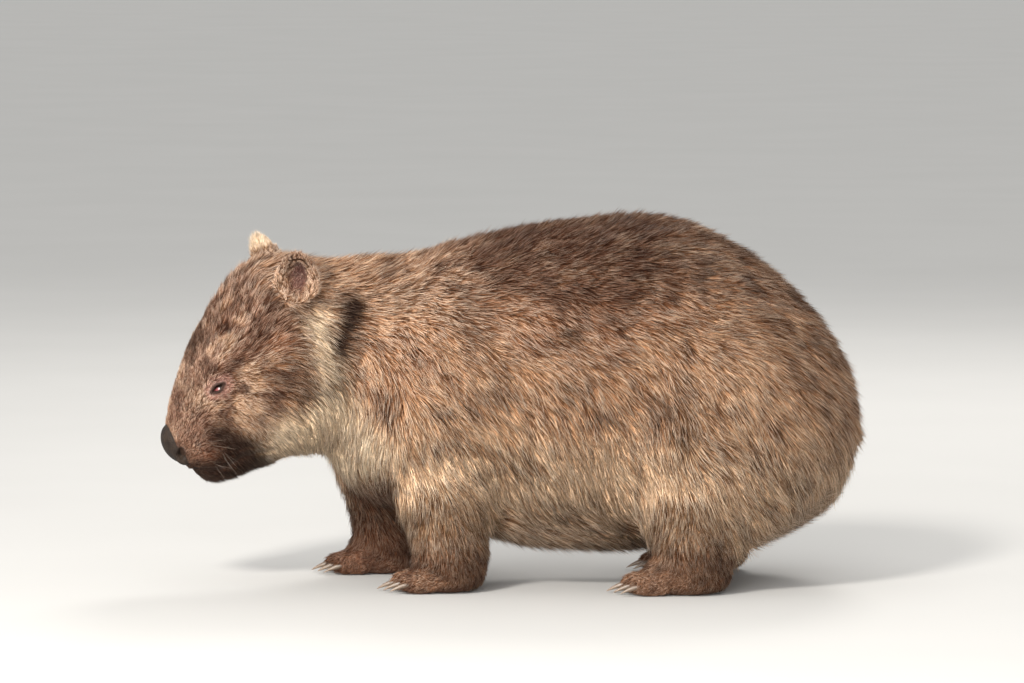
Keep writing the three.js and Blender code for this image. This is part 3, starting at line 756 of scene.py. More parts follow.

# %% [markdown]
# ## The markings
#
# A common wombat looks plain brown from afar. Close to, its back is chocolate, its flanks are a pinkish
# tan, cream edges the cheek ruff and the throat, the muzzle is dark about the mouth, and the paws are
# auburn. Some of the paint is shade rather than colour: painted shade in the crease behind the ruff and
# behind the ear, about the mouth, in the nostrils, under the chin, the chest and the belly, and on the
# far legs. Each marking is a colour and a soft place, painted over the last one, and noise breaks their
# edges. The result is stored on the skin and handed on to every tuft, so both carry one pattern.


# %% Paint the markings
def paint(colour, amount):
    """Paint a colour over the markings so far."""
    global mark
    mark = mixed(mark, colour, np.clip(amount, 0, 1))


def spot(at, radii):
    """A soft spot in the side view, with its place and radii given along X and Z."""
    r = np.hypot((x - at[0]) / radii[0], (z - at[1]) / radii[1])
    return np.exp(-(r * r))


def head_spot(at, radii):
    """A soft spot on both sides of the head, with its place and radii along u and w."""
    return np.exp(-(((u - at[0]) / radii[0]) ** 2 + ((w - at[1]) / radii[1]) ** 2))


TAN, PALE_TAN, CREAM = (0.57, 0.340, 0.200), (0.84, 0.580, 0.375), (0.98, 0.82, 0.60)
CHOCOLATE, RUSSET, UMBER = (0.120, 0.054, 0.031), (0.34, 0.155, 0.080), (0.042, 0.020, 0.012)
ROSE_BROWN, AUBURN, GREY_TAN = (0.32, 0.170, 0.115), (0.20, 0.085, 0.045), (0.42, 0.275, 0.165)
FACE_TAN, BARE_PINK, EAR_PINK = (0.42, 0.260, 0.163), (0.46, 0.25, 0.21), (0.17, 0.075, 0.065)

slow = value_noise(skin_points, 60, 11)
quick = value_noise(skin_points, 16, 12)
fleck = value_noise(skin_points, 7, 13)
speck = value_noise(skin_points, 4.6, 14)
print("spread of the noises:", [round(float(noise.std()), 2) for noise in (slow, quick, fleck, speck)])

# %% Markings of the trunk: pale low flanks, a dark saddle, dark and pale flecks
mark = np.tile(np.array(TAN), (len(skin_points), 1))
saddle = smooth_step(-130, -20, x) * (1 - 0.6 * smooth_step(130, 220, x))
paint(PALE_TAN, smooth_step(225, 140, z + 14 * slow) * (0.9 - 0.45 * smooth_step(150, 230, x)))
paint(RUSSET, saddle * smooth_step(242, 298, z + 26 * slow + 16 * quick) * 0.75)
paint(CHOCOLATE, saddle * smooth_step(270, 330, z + 22 * slow + 18 * quick) * 0.9)
paint(CHOCOLATE, smooth_step(0.2, 0.6, quick + 0.6 * fleck) * 0.7)
on_saddle = saddle * smooth_step(235, 285, z)
paint(PALE_TAN, smooth_step(0.2, 0.65, -quick + 0.6 * fleck) * (0.55 - 0.45 * on_saddle))
print("mean colour of the trunk:", mark.mean(0).round(3))

# %% Spots of the flank, the shoulder and the rump
paint(CREAM, smooth_step(190, 120, z + 12 * quick) * smooth_step(-160, -100, x) * 0.35)
paint(UMBER, 0.75 * spot((56, 268), (15, 8)))
paint(UMBER, 0.65 * spot((56, 213), (7, 12)))
paint(RUSSET, 0.8 * spot((18, 262), (22, 14)) + 0.7 * spot((100, 256), (12, 12)))
paint(PALE_TAN, 0.5 * spot((225, 205), (55, 60)) + 0.2 * spot((-20, 225), (60, 50)))
paint(UMBER, 0.5 * spot((178, 176), (16, 36)))
paint(PALE_TAN, 0.3 * spot((-95, 290), (55, 25)))
paint(RUSSET, 0.3 * spot((-100, 245), (60, 45)))
print("mean colour with the spots:", mark.mean(0).round(3))

# %% Markings of the legs and the belly: painted shade on the far legs, under the chest and on the belly; the paws are auburn
paint(GREY_TAN, on_leg * 0.9)
# Painted shade: the legs on the far side are darkened
paint(CHOCOLATE, on_leg * (y > 0) * 0.75)
# Painted shade on the far foreleg and on the chest hair that hangs over it
paint(CHOCOLATE, smooth_step(-25, 15, y) * spot((-125, 96), (50, 56)) * 0.9)
paint(CHOCOLATE, smooth_step(0.35, 0.75, spot((-142, 106), (36, 44))) * 0.9)
paint(CHOCOLATE, 0.25 * spot((230, 160), (70, 45)))
paint(AUBURN, on_leg * smooth_step(84, 30, z) * 0.75)
paint(CHOCOLATE, on_leg * smooth_step(60, 30, z) * smooth_step(-0.1, 0.6, quick + fleck) * 0.7)
# Painted shade on the skin that faces down, the belly most
paint(CHOCOLATE, facing_down * 0.45 * (1 - on_head))
print("mean colour of the legs:", mark[on_leg > 0.5].mean(0).round(3))

# %% Markings of forehead, brow and cheek
# The face is painted on its own and laid over the body's markings at the end
body_mark = mark
mark = np.tile(np.array(FACE_TAN), (len(skin_points), 1))
paint(ROSE_BROWN, smooth_step(20, 55, w - 0.1 * u + 10 * quick) * 0.75)
paint(CHOCOLATE, smooth_step(0.0, 0.5, quick + 0.8 * fleck) * 0.8)
paint(CHOCOLATE, smooth_step(0.0, 0.5, speck + 0.4 * fleck) * 0.75)
paint(PALE_TAN, smooth_step(0.1, 0.6, -quick - 0.6 * fleck) * 0.5)
paint(UMBER, head_spot((106, 92), (22, 14)) * smooth_step(34, 12, np.abs(v)) * 0.8)
paint(CHOCOLATE, head_spot((138, 58), (16, 15)) * 0.75)
paint(RUSSET, head_spot((38, 46), (16, 11)) * 0.75)
paint(CHOCOLATE, head_spot((84, 56), (13, 12)) * 0.45 + head_spot((66, 99), (22, 18)) * 0.3)
paint(CHOCOLATE, head_spot((72, 8), (34, 16)) * smooth_step(-0.5, 0.3, quick) * 0.65)
paint(CREAM, smooth_step(-14, -40, w - 0.15 * u) * smooth_step(112, 86, u) * 0.9)
print("mean colour of forehead and cheek:", mark[on_head > 0.5].mean(0).round(3))

# %% Markings of the muzzle, the mouth and the lids, with painted shade about the mouth, under the chin and in the nostrils
# Painted shade behind the lips runs from above the mouth's corner down to the jaw
MOUTH_SHADE_LINE = np.array([(139, 5), (131, -12), (120, -36)])
paint(ROSE_BROWN, head_spot((158, 20), (24, 30)) * 0.95)
paint(CHOCOLATE, head_spot((160, 12), (26, 34)) * 0.55)
paint(CHOCOLATE, smooth_step(0.1, 0.6, fleck) * smooth_step(125, 145, u) * 0.4)
paint(AUBURN, smooth_step(14, -2, w) * smooth_step(112, 134, u) * 0.85)
# Painted shade under the chin
paint(UMBER, smooth_step(0, -20, w) * smooth_step(110, 132, u) * 0.75)
# Painted shade in a band along the mouth
paint(UMBER, smooth_step(15, 5, mouth_gap) * smooth_step(100, 118, u) * 0.8)
paint(UMBER, np.exp(-((line_distance(u, w, MOUTH_SHADE_LINE) / 15) ** 2) ** 1.5))
# Painted shade in the nostrils
paint(UMBER, ridge(nostril_gap, 0.9, 0, 3))
paint(BARE_PINK, smooth_step(13, 6, eye_gap) * 0.85)
paint(UMBER, smooth_step(4.2, 2.0, eye_gap) * 0.95)
# Dark lips, with painted shade in the groove between them
paint(UMBER, smooth_step(3.0, 1.2, mouth_gap) * 0.9)
paint(UMBER, smooth_step(6, 2, nose_distance(u, v, w)) * smooth_step(12, 0, w))
mark = mixed(body_mark, mark, on_head * (1 - on_ear))
print("mean colour of the head:", mark[on_head > 0.5].mean(0).round(3))

# %% The pale ruff, painted shade in the crease behind it and behind the near ear, and the ears
RUFF_EDGE = np.array([(-200, 280), (-190, 256), (-182, 228), (-185, 192), (-208, 166), (-236, 148)])
CREASE_SHADE_LINE = np.array([(-163, 292), (-168, 278), (-172, 258), (-174, 236), (-180, 210)])
paint(CREAM, ridge(line_distance(x, z, RUFF_EDGE), 0.95, 0, 15) * (1 - on_ear))
# Painted shade along the crease behind the ruff, strongest at its top
crease_shade = ridge(line_distance(x + 5 * quick, z + 5 * fleck, CREASE_SHADE_LINE), 1, 0, 11)
paint(UMBER, crease_shade * (0.6 + 0.8 * smooth_step(236, 258, z)) * (1 - on_ear))
# Painted shadow behind the near ear, between the ear and the ruff
paint(CHOCOLATE, spot((-208, 294), (11, 10)) * 0.75)
paint(FACE_TAN, on_ear)
paint(CHOCOLATE, on_ear * smooth_step(0.1, 0.6, fleck) * 0.5)
paint(CHOCOLATE, on_ear * ear_top * (v > 0) * 0.6)
paint(CREAM, ear_rim * (v < 0) * ear_top * 0.6)
paint(CREAM, on_ear * (v < 0) * smooth_step(0.4, 0.95, ear_top) * 0.75)
paint(EAR_PINK, ear_cup * 0.9)
mark *= (1 + 0.12 * fleck)[:, None]
print("mean colour of the ears:", mark[on_ear > 0.5].mean(0).round(3))

# %% [markdown]
# ## Parts of the coat and their flat charts
#
# The coat is planted in several pieces, each small enough to handle. Every piece needs a chart, a flat
# picture of its stretch of skin, so that each tuft's colour has a place to be stored. A chart comes from
# the skin's own shape: faces that look the same way are laid flat together, leg by leg and side by side,
# and the flat islands are packed onto shelves that fill one square.

# %% Choose each face's piece of coat
COAT_PIECES = (
    "coat_face_left",
    "coat_face_right",
    "coat_cheek_left",
    "coat_cheek_right",
    "coat_shoulders",
    "coat_flank_left",
    "coat_flank_right",
    "coat_rump_left",
    "coat_rump_right",
    "coat_forelegs",
    "coat_hindlegs",
)
mesh.vertices.foreach_set("co", ((skin_points + SHIFT) * MM).astype(np.float32).ravel())
mesh.update()
face_count = len(mesh.polygons)
face_start = np.empty(face_count, int)
face_size = np.empty(face_count, int)
corner_vertex = np.empty(len(mesh.loops), int)
mesh.polygons.foreach_get("loop_start", face_start)
mesh.polygons.foreach_get("loop_total", face_size)
mesh.loops.foreach_get("vertex_index", corner_vertex)
corner_face = np.repeat(np.arange(face_count), face_size)


def per_face(values):
    """The mean over each face's corners of what the vertices hold."""
    corners = face_size.reshape(-1, *[1] * (values.ndim - 1))
    return np.add.reduceat(values[corner_vertex], face_start, axis=0) / corners


def sided(name, is_left):
    return np.where(is_left, NUMBER[name + "_left"], NUMBER[name + "_right"])


NUMBER = {name: n for n, name in enumerate(COAT_PIECES)}
fx, fy, _ = per_face(skin_points).T
fu, fv, _ = per_face(np.stack([u, v, w], -1)).T
face_leg = per_face(on_leg) > 0.5
face_ear = per_face(on_ear) > 0.5
neck_plane = (fx - NECK_FRONT) * math.cos(HEAD_YAW) + fy * math.sin(HEAD_YAW)
FACE_START, SHOULDER_END, RUMP_START = 84, -45, 130
on_face, on_cheek = (neck_plane < 0) & (fu > FACE_START), neck_plane < 0
part = np.select(
    [face_leg, on_face, on_cheek, fx < SHOULDER_END, fx < RUMP_START],
    [
        np.where(fx < MIDRIFF, NUMBER["coat_forelegs"], NUMBER["coat_hindlegs"]),
        sided("coat_face", fv > 0),
        sided("coat_cheek", fv > 0),
        NUMBER["coat_shoulders"],
        sided("coat_flank", fy < 0),
    ],
    sided("coat_rump", fy < 0),
)
print("faces in each piece:", {name: int((part == n).sum()) for n, name in enumerate(COAT_PIECES)})


# %% Lay the charts flat and pack them
def pack_on_shelves(sizes):
    """Corners for rectangles placed in rows, tallest first, and the side of the square they fill."""
    row_end = 1.05 * math.sqrt((sizes[:, 0] * sizes[:, 1]).sum())
    corners = np.zeros_like(sizes)
    at_x = at_y = row_height = 0.0
    for n in np.argsort(-sizes[:, 1]):
        if at_x and at_x + sizes[n, 0] > row_end:
            at_x, at_y, row_height = 0.0, at_y + row_height, 0.0
        corners[n] = (at_x, at_y)
        at_x += sizes[n, 0]
        row_height = max(row_height, sizes[n, 1])
    return corners, (corners + sizes).max()


MARGIN = 3.0
# Trunk and head 0, each leg 1 to 4, ears 5, so that no chart holds two of them
GROUPS, DIRECTIONS = 6, 6
group = np.select([face_leg, face_ear], [1 + 2 * (fx > MIDRIFF) + (fy > 0), 5], 0)
face_normal = unit(per_face(normals))
main_axis = np.abs(face_normal).argmax(1)
looks_forward = np.take_along_axis(face_normal, main_axis[:, None], 1)[:, 0] > 0
chart = (part * GROUPS + group) * DIRECTIONS + main_axis * 2 + looks_forward
flat_axes = np.array([(1, 2), (0, 2), (0, 1)])[main_axis[corner_face]]
corner_points = skin_points[corner_vertex]
flat = np.take_along_axis(corner_points, flat_axes, 1)
_, chart_number = np.unique(chart[corner_face], return_inverse=True)
chart_low = np.full((chart_number.max() + 1, 2), np.inf)
chart_high = -chart_low
np.minimum.at(chart_low, chart_number, flat)
np.maximum.at(chart_high, chart_number, flat)
chart_part = np.zeros(len(chart_low), int)
chart_part[chart_number] = part[corner_face]
root_uv = np.zeros_like(flat)
for n in range(len(COAT_PIECES)):
    mine = np.flatnonzero(chart_part == n)
    corners, square = pack_on_shelves(chart_high[mine] - chart_low[mine] + MARGIN)
    offset = np.zeros_like(chart_low)
    offset[mine] = corners - chart_low[mine] + MARGIN / 2
    chosen = chart_part[chart_number] == n
    root_uv[chosen] = (flat[chosen] + offset[chart_number[chosen]]) / square
print("charts:", len(chart_low))


# %% Store everything on the skin
FIELDS = {"FLOAT": "value", "INT": "value", "FLOAT_VECTOR": "vector", "FLOAT_COLOR": "color"}


def store(mesh, name, kind, values, domain="POINT"):
    """A named attribute on a mesh, as floats or as whole numbers."""
    attribute = mesh.attributes.new(name, kind, domain)
    values = np.asarray(values, np.int32 if kind == "INT" else np.float32)
    attribute.data.foreach_set(FIELDS[kind], values.ravel())


def smooth_shaded(mesh):
    mesh.polygons.foreach_set("use_smooth", np.ones(len(mesh.polygons), bool))


def shown(name, data):
    """A new object at the origin of the scene."""
    made = bpy.data.objects.new(name, data)
    bpy.context.scene.collection.objects.link(made)
    return made


store(mesh, "lie", "FLOAT_VECTOR", lie)
store(mesh, "length", "FLOAT", length * MM)
store(mesh, "girth", "FLOAT", girth * MM)
store(mesh, "rise", "FLOAT", rise)
store(mesh, "closeness", "FLOAT", closeness)
store(mesh, "mark", "FLOAT_COLOR", np.c_[mark, np.ones(len(mark))])
store(mesh, "part", "INT", part, "FACE")
mesh.uv_layers.new(name="root_uv").data.foreach_set("uv", root_uv.astype(np.float32).ravel())
smooth_shaded(mesh)
skin = shown("skin", mesh)
print("stored on the skin:", ", ".join(mesh.attributes.keys()))

# %% [markdown]
# ## Finishes for skin and hair
#
# Hair isn't one colour along its length: it is dark at the root, partly dark underfur and partly painted
# shade deep in the coat, takes the marking's colour in the middle, and on many guard hairs ends in a pale
# tip. The hair finish reads the marking stored on each tuft, a number for the tuft, a number for its
# clump, and how far along the tuft a point lies. Pale hair lets light through and shades less, so the
# finish varies it less than dark hair. The skin's finish reads the same marking, darker as painted shade,
# for the few places where it shows between the hairs.


# %% Helpers for any node tree
def feed(tree, socket, value):
    """Link another node's output to a socket, or set the socket to a constant."""
    if isinstance(value, bpy.types.NodeSocket):
        tree.links.new(value, socket)
    else:
        socket.default_value = value


def node(tree, kind, inputs=None, **settings):
    made = tree.nodes.new(kind)
    for name, value in settings.items():
        setattr(made, name, value)
    for name, value in (inputs or {}).items():
        feed(tree, made.inputs[name], value)
    return made


def math_node(tree, operation, *values):
    made = node(tree, "ShaderNodeMath", operation=operation)
    for socket, value in zip(made.inputs, values):
        feed(tree, socket, value)
    return made.outputs[0]


def map_range(tree, value, *limits):
    names = ("From Min", "From Max", "To Min", "To Max")
    return node(tree, "ShaderNodeMapRange", {"Value": value, **dict(zip(names, limits))}).outputs[0]


# %% Helpers for finishes
# Places of the colour sockets among the inputs and outputs of a Mix node
MIX_INPUTS, MIX_OUTPUT = (0, 6, 7), 2


def new_finish(name, **constants):
    """A material with some of its shader's sockets set, its tree and its shader."""
    material = bpy.data.materials.new(name)
    material.use_nodes = True
    shader = material.node_tree.nodes["Principled BSDF"]
    for socket, value in constants.items():
        shader.inputs[socket.replace("_", " ")].default_value = value
    return material, material.node_tree, shader


def mix_colour(tree, factor, a, b, blend="MIX"):
    made = node(tree, "ShaderNodeMix", data_type="RGBA", blend_type=blend)
    for index, value in zip(MIX_INPUTS, (factor, a, b)):
        feed(tree, made.inputs[index], value)
    return made.outputs[MIX_OUTPUT]


def shaded(tree, colour, strength):
    """A colour made darker or lighter by a number."""
    grey = node(tree, "ShaderNodeCombineColor", {"Red": strength, "Green": strength, "Blue": strength})
    return mix_colour(tree, 1.0, colour, grey.outputs[0], "MULTIPLY")


def number_on(tree, name):
    return node(tree, "ShaderNodeAttribute", attribute_name=name).outputs["Fac"]


def colour_on(tree, name):
    return node(tree, "ShaderNodeAttribute", attribute_name=name).outputs["Color"]


def place_on_object(tree):
    return node(tree, "ShaderNodeTexCoord").outputs["Object"]


def noise_at(tree, place, scale, detail):
    return node(tree, "ShaderNodeTexNoise", {"Vector": place, "Scale": scale, "Detail": detail}).outputs["Fac"]


def roughen(tree, shader, height, strength, distance):
    """A fine bump on a shader, from a height and a distance in metres."""
    bump = node(tree, "ShaderNodeBump", {"Height": height, "Strength": strength, "Distance": distance})
    tree.links.new(bump.outputs[0], shader.inputs["Normal"])


def ramp(tree, value, stops):
    """A colour for each value, from stops that pair a position with a colour."""
    made = node(tree, "ShaderNodeValToRGB", {"Fac": value})
    elements = made.color_ramp.elements
    for position, colour in stops[2:]:
        elements.new(position)
    for element, (position, colour) in zip(sorted(elements, key=lambda e: e.position), sorted(stops)):
        element.position, element.color = position, (*colour, 1)
    return made.outputs[0]


print("colour sockets of a Mix node:", MIX_INPUTS)

# %% Shades along a tuft, from tuft to tuft and from clump to clump
# Darker towards the root: dark underfur, and painted shade deep in the coat
ROOT_TO_TIP = [(0.0, (0.42, 0.34, 0.28)), (0.30, (0.70, 0.62, 0.55)), (0.62, (1.0, 1.0, 1.0))]
TUFT_SHADES = [
    (0.0, (0.20, 0.15, 0.12)),
    (0.22, (0.36, 0.28, 0.23)),
    (0.38, (0.84, 0.78, 0.74)),
    (0.66, (1.02, 1.02, 1.02)),
    (1.0, (1.28, 1.32, 1.34)),
]
CLUMP_SHADES = [(0.0, (0.55, 0.45, 0.38)), (0.3, (0.90, 0.84, 0.79)), (1.0, (1.16, 1.15, 1.13))]
PALE_TIP = (0.94, 0.79, 0.64, 1)
print("stops:", len(ROOT_TO_TIP), len(TUFT_SHADES), len(CLUMP_SHADES))

# %% The finish of the hair
hair, tree, shader = new_finish("hair", Roughness=0.55, Specular_IOR_Level=0.14)
hair_colour = colour_on(tree, "mark")
is_pale = node(tree, "ShaderNodeRGBToBW", {"Color": hair_colour}).outputs[0]
contrast = map_range(tree, is_pale, 0.40, 0.80, 1.0, 0.66)
for name, stops in (("along", ROOT_TO_TIP), ("tuft_number", TUFT_SHADES), ("clump_number", CLUMP_SHADES)):
    shade = ramp(tree, number_on(tree, name), stops)
    hair_colour = mix_colour(tree, contrast, hair_colour, shade, "MULTIPLY")
towards_tip = map_range(tree, number_on(tree, "along"), 0.30, 0.85, 0.0, 0.72)
is_guard_hair = map_range(tree, number_on(tree, "tuft_number"), 0.48, 0.7, 0.0, 1.0)
shows_tip = map_range(tree, is_pale, 0.04, 0.26, 0.13, 1.0)
tipped = math_node(tree, "MULTIPLY", towards_tip, math_node(tree, "MULTIPLY", is_guard_hair, shows_tip))
tree.links.new(mix_colour(tree, tipped, hair_colour, PALE_TIP), shader.inputs["Base Color"])
print("nodes in the hair's finish:", len(tree.nodes))

# %% The finish of the skin
hide, tree, shader = new_finish("hide", Roughness=0.72, Specular_IOR_Level=0.25)
pores = noise_at(tree, place_on_object(tree), 900.0, 3.0)
# Painted shade: the skin is darkened where it shows between the hairs, varied by the grain of the pores
pores_and_shade = map_range(tree, pores, 0.3, 0.7, 0.42, 0.72)
tree.links.new(shaded(tree, colour_on(tree, "mark"), pores_and_shade), shader.inputs["Base Color"])
roughen(tree, shader, pores, 0.35, 0.0006)
mesh.materials.append(hide)
print("nodes in the skin's finish:", len(tree.nodes))

# %% [markdown]
# ## Planting the coat
#
# Hair systems could grow this coat, but only a plain mesh can be handed on, so Geometry Nodes plant it.
# The tree scatters points over one piece of skin, leans a slim tapered tuft from each along the lie, and
# draws neighbours towards the middle of their clump, which is what parts a real coat into locks. The
# tufts become real mesh at the end, each with its own small patch on the chart.

# %% Helpers for geometry trees
PATCH = 0.003
FLOOR_GAP = 0.0004


def vector_math(tree, operation, *values):
    made = node(tree, "ShaderNodeVectorMath", operation=operation)
    for socket, value in zip([s for s in made.inputs if s.enabled], values):
        feed(tree, socket, value)
    return made.outputs["Vector"]


def scaled(tree, vector, factor):
    made = node(tree, "ShaderNodeVectorMath", {0: vector, "Scale": factor}, operation="SCALE")
    return made.outputs["Vector"]


def named(tree, name, kind="FLOAT"):
    return node(tree, "GeometryNodeInputNamedAttribute", {"Name": name}, data_type=kind).outputs["Attribute"]


def keep_as(tree, geometry, name, value, kind="FLOAT", domain="POINT"):
    inputs = {"Geometry": geometry, "Name": name, "Value": value}
    return node(tree, "GeometryNodeStoreNamedAttribute", inputs, data_type=kind, domain=domain).outputs[0]


def new_tree(name, inputs):
    """A geometry tree with named inputs, and the sockets at its two ends."""
    tree = bpy.data.node_groups.new(name, "GeometryNodeTree")
    tree.interface.new_socket("Geometry", in_out="OUTPUT", socket_type="NodeSocketGeometry")
    tree.interface.new_socket("Geometry", in_out="INPUT", socket_type="NodeSocketGeometry")
    for label, (kind, default) in inputs.items():
        socket = tree.interface.new_socket(label, in_out="INPUT", socket_type="NodeSocket" + kind)
        if default is not None:
            socket.default_value = default
    return tree, tree.nodes.new("NodeGroupInput").outputs, tree.nodes.new("NodeGroupOutput").inputs


def end_tree(tree, given, result, real):
    """Lift what would reach into the floor, smooth the mesh and give it its finish."""
    position = node(tree, "GeometryNodeInputPosition").outputs[0]
    at = node(tree, "ShaderNodeSeparateXYZ", {"Vector": position}).outputs
    height = math_node(tree, "MAXIMUM", at["Z"], FLOOR_GAP)
    lifted = node(tree, "ShaderNodeCombineXYZ", {"X": at["X"], "Y": at["Y"], "Z": height}).outputs[0]
    clear = node(tree, "GeometryNodeSetPosition", {"Geometry": real, "Position": lifted}).outputs[0]
    smooth = node(tree, "GeometryNodeSetShadeSmooth", {"Geometry": clear}).outputs[0]
    finished = node(tree, "GeometryNodeSetMaterial", {"Geometry": smooth, "Material": given["Finish"]})
    tree.links.new(finished.outputs[0], result["Geometry"])


print("patch for a tuft:", PATCH, "gap to the floor:", FLOOR_GAP)

# %% Scatter the roots over one piece of skin
coat_tree, given, result = new_tree(
    "Plant a coat",
    {
        "Part": ("Int", 0),
        "Tufts per square metre": ("Float", 100000.0),
        "Clump size": ("Float", 0.012),
        "Clump pull": ("Float", 0.6),
        "Stray": ("Float", 0.12),
        "Seed": ("Int", 1),
        "Finish": ("Material", None),
    },
)
is_part = node(coat_tree, "FunctionNodeCompare", data_type="INT", operation="EQUAL")
coat_tree.links.new(named(coat_tree, "part", "INT"), is_part.inputs[2])
coat_tree.links.new(given["Part"], is_part.inputs[3])
density = math_node(coat_tree, "MULTIPLY", named(coat_tree, "closeness"), given["Tufts per square metre"])
roots = node(
    coat_tree,
    "GeometryNodeDistributePointsOnFaces",
    {"Mesh": given["Geometry"], "Selection": is_part.outputs[0], "Density": density, "Seed": given["Seed"]},
)
place = coat_tree.nodes.new("GeometryNodeInputPosition").outputs[0]
clump_scale = math_node(coat_tree, "DIVIDE", 1.0, given["Clump size"])
clump = node(coat_tree, "ShaderNodeTexVoronoi", {"Vector": place, "Scale": clump_scale})
tuft_random = node(coat_tree, "FunctionNodeRandomValue", {"Seed": given["Seed"]}, data_type="FLOAT")
clump_random = node(coat_tree, "FunctionNodeSeparateColor", {"Color": clump.outputs["Color"]}).outputs[0]
planted = keep_as(coat_tree, roots.outputs["Points"], "tuft_number", tuft_random.outputs[1])
planted = keep_as(coat_tree, planted, "clump_number", clump_random)
print("nodes so far:", len(coat_tree.nodes))

# %% Lean each tuft along the lie and into its clump
to_middle = vector_math(coat_tree, "SUBTRACT", clump.outputs["Position"], place)
pull = math_node(coat_tree, "DIVIDE", given["Clump pull"], named(coat_tree, "length"))
stray = node(
    coat_tree,
    "FunctionNodeRandomValue",
    {"Min": (-1, -1, -1), "Max": (1, 1, 1), "Seed": given["Seed"]},
    data_type="FLOAT_VECTOR",
).outputs[0]
outward = roots.outputs["Normal"]
risen = scaled(coat_tree, outward, named(coat_tree, "rise"))
along_lie = vector_math(coat_tree, "ADD", named(coat_tree, "lie", "FLOAT_VECTOR"), risen)
pulled = scaled(coat_tree, to_middle, pull)
disturbed = vector_math(coat_tree, "ADD", pulled, scaled(coat_tree, stray, given["Stray"]))
direction = vector_math(coat_tree, "ADD", along_lie, disturbed)
turned = node(coat_tree, "FunctionNodeAlignRotationToVector", {"Vector": direction}, axis="Z")
flat_turn = node(
    coat_tree,
    "FunctionNodeAlignRotationToVector",
    {"Rotation": turned.outputs[0], "Vector": outward},
    axis="Y",
    pivot_axis="Z",
)
print("nodes so far:", len(coat_tree.nodes))

# %% Give each tuft its own girth and length
FLATNESS = 0.6
# Sockets of a Random Value node that hold the limits of a plain number
LOW, HIGH = 2, 3


def varied(tree, name, low, high, offset):
    """A measure of the skin times a random factor, which differs from tuft to tuft."""
    seed = math_node(tree, "ADD", given["Seed"], float(offset))
    factor = node(tree, "FunctionNodeRandomValue", {LOW: low, HIGH: high, "Seed": seed}, data_type="FLOAT")
    return math_node(tree, "MULTIPLY", named(tree, name), factor.outputs[1])


girth_here = varied(coat_tree, "girth", 0.7, 1.25, 11)
length_here = varied(coat_tree, "length", 0.68, 1.15, 23)
size = node(
    coat_tree,
    "ShaderNodeCombineXYZ",
    {"X": girth_here, "Y": math_node(coat_tree, "MULTIPLY", girth_here, FLATNESS), "Z": length_here},
)
print("nodes so far:", len(coat_tree.nodes))

# %% The tuft itself
# A cone one unit long, a little of it below the skin, with as few sides as a solid can have
SUNK, SIDES_OF_TUFT, ROOT_RADIUS = 0.06, 3, 0.58
cone = node(
    coat_tree,
    "GeometryNodeMeshCone",
    {"Vertices": SIDES_OF_TUFT, "Radius Top": 0.0, "Radius Bottom": ROOT_RADIUS, "Depth": 1.0 + SUNK},
    fill_type="NGON",
)
cone_place = coat_tree.nodes.new("GeometryNodeInputPosition").outputs[0]
lowered = vector_math(coat_tree, "SUBTRACT", cone_place, (0.0, 0.0, SUNK))
tuft = node(coat_tree, "GeometryNodeSetPosition", {"Geometry": cone.outputs["Mesh"], "Position": lowered})
height = node(coat_tree, "ShaderNodeSeparateXYZ", {"Vector": cone_place})
tuft_shape = keep_as(coat_tree, tuft.outputs[0], "along", height.outputs["Z"])
patch = node(
    coat_tree,
    "ShaderNodeCombineXYZ",
    {axis: math_node(coat_tree, "MULTIPLY", height.outputs[way], PATCH) for axis, way in ("XX", "YZ")},
)
tuft_shape = keep_as(coat_tree, tuft_shape, "patch", patch.outputs[0], "FLOAT_VECTOR")
print("nodes so far:", len(coat_tree.nodes))

# %% Plant the tufts, chart them and end the tree
planted = node(
    coat_tree,
    "GeometryNodeInstanceOnPoints",
    {"Points": planted, "Instance": tuft_shape, "Rotation": flat_turn.outputs[0], "Scale": size.outputs[0]},
)
real = node(coat_tree, "GeometryNodeRealizeInstances", {"Geometry": planted.outputs[0]}).outputs[0]
root_place, own_patch = (named(coat_tree, name, "FLOAT_VECTOR") for name in ("root_uv", "patch"))
charted = vector_math(coat_tree, "ADD", root_place, own_patch)
real = keep_as(coat_tree, real, "OFBake", charted, "FLOAT2", "CORNER")
end_tree(coat_tree, given, result, real)
print("nodes in the planting tree:", len(coat_tree.nodes))


# %% Run a tree and keep its mesh
def grown_by(tree, source, settings, name):
    """The plain mesh that a tree makes from a source mesh, as a new object."""
    carrier = shown(name + "_source", source)
    modifier = carrier.modifiers.new("grow", "NODES")
    modifier.node_group = tree
    sockets = {s.name: s.identifier for s in tree.interface.items_tree if s.in_out == "INPUT"}
    for label, value in settings.items():
        modifier[sockets[label]] = value
    carrier.update_tag()
    graph = bpy.context.evaluated_depsgraph_get()
    grown = bpy.data.meshes.new_from_object(carrier.evaluated_get(graph))
    grown.name = name
    carrier.modifiers.remove(modifier)
    bpy.data.objects.remove(carrier)
    return shown(name, grown)


print("inputs of the planting tree:", [s.name for s in coat_tree.interface.items_tree if s.in_out == "INPUT"])

# %% [markdown]
# ## How many tufts
#
# A fixed number of tufts is shared out over the whole skin by area, weighted by how close the hairs
# stand. A factor for each piece then makes the side that the photo shows a little thicker, and keeps the
# mesh of every piece easy to handle. The trunk's clumps are wide, the face's small, and the pull says how
# much a clump's tufts lean together.

# %% Share out the tufts
ALL_TUFTS = 370000
STRAY, FIRST_SEED = 0.19, 7
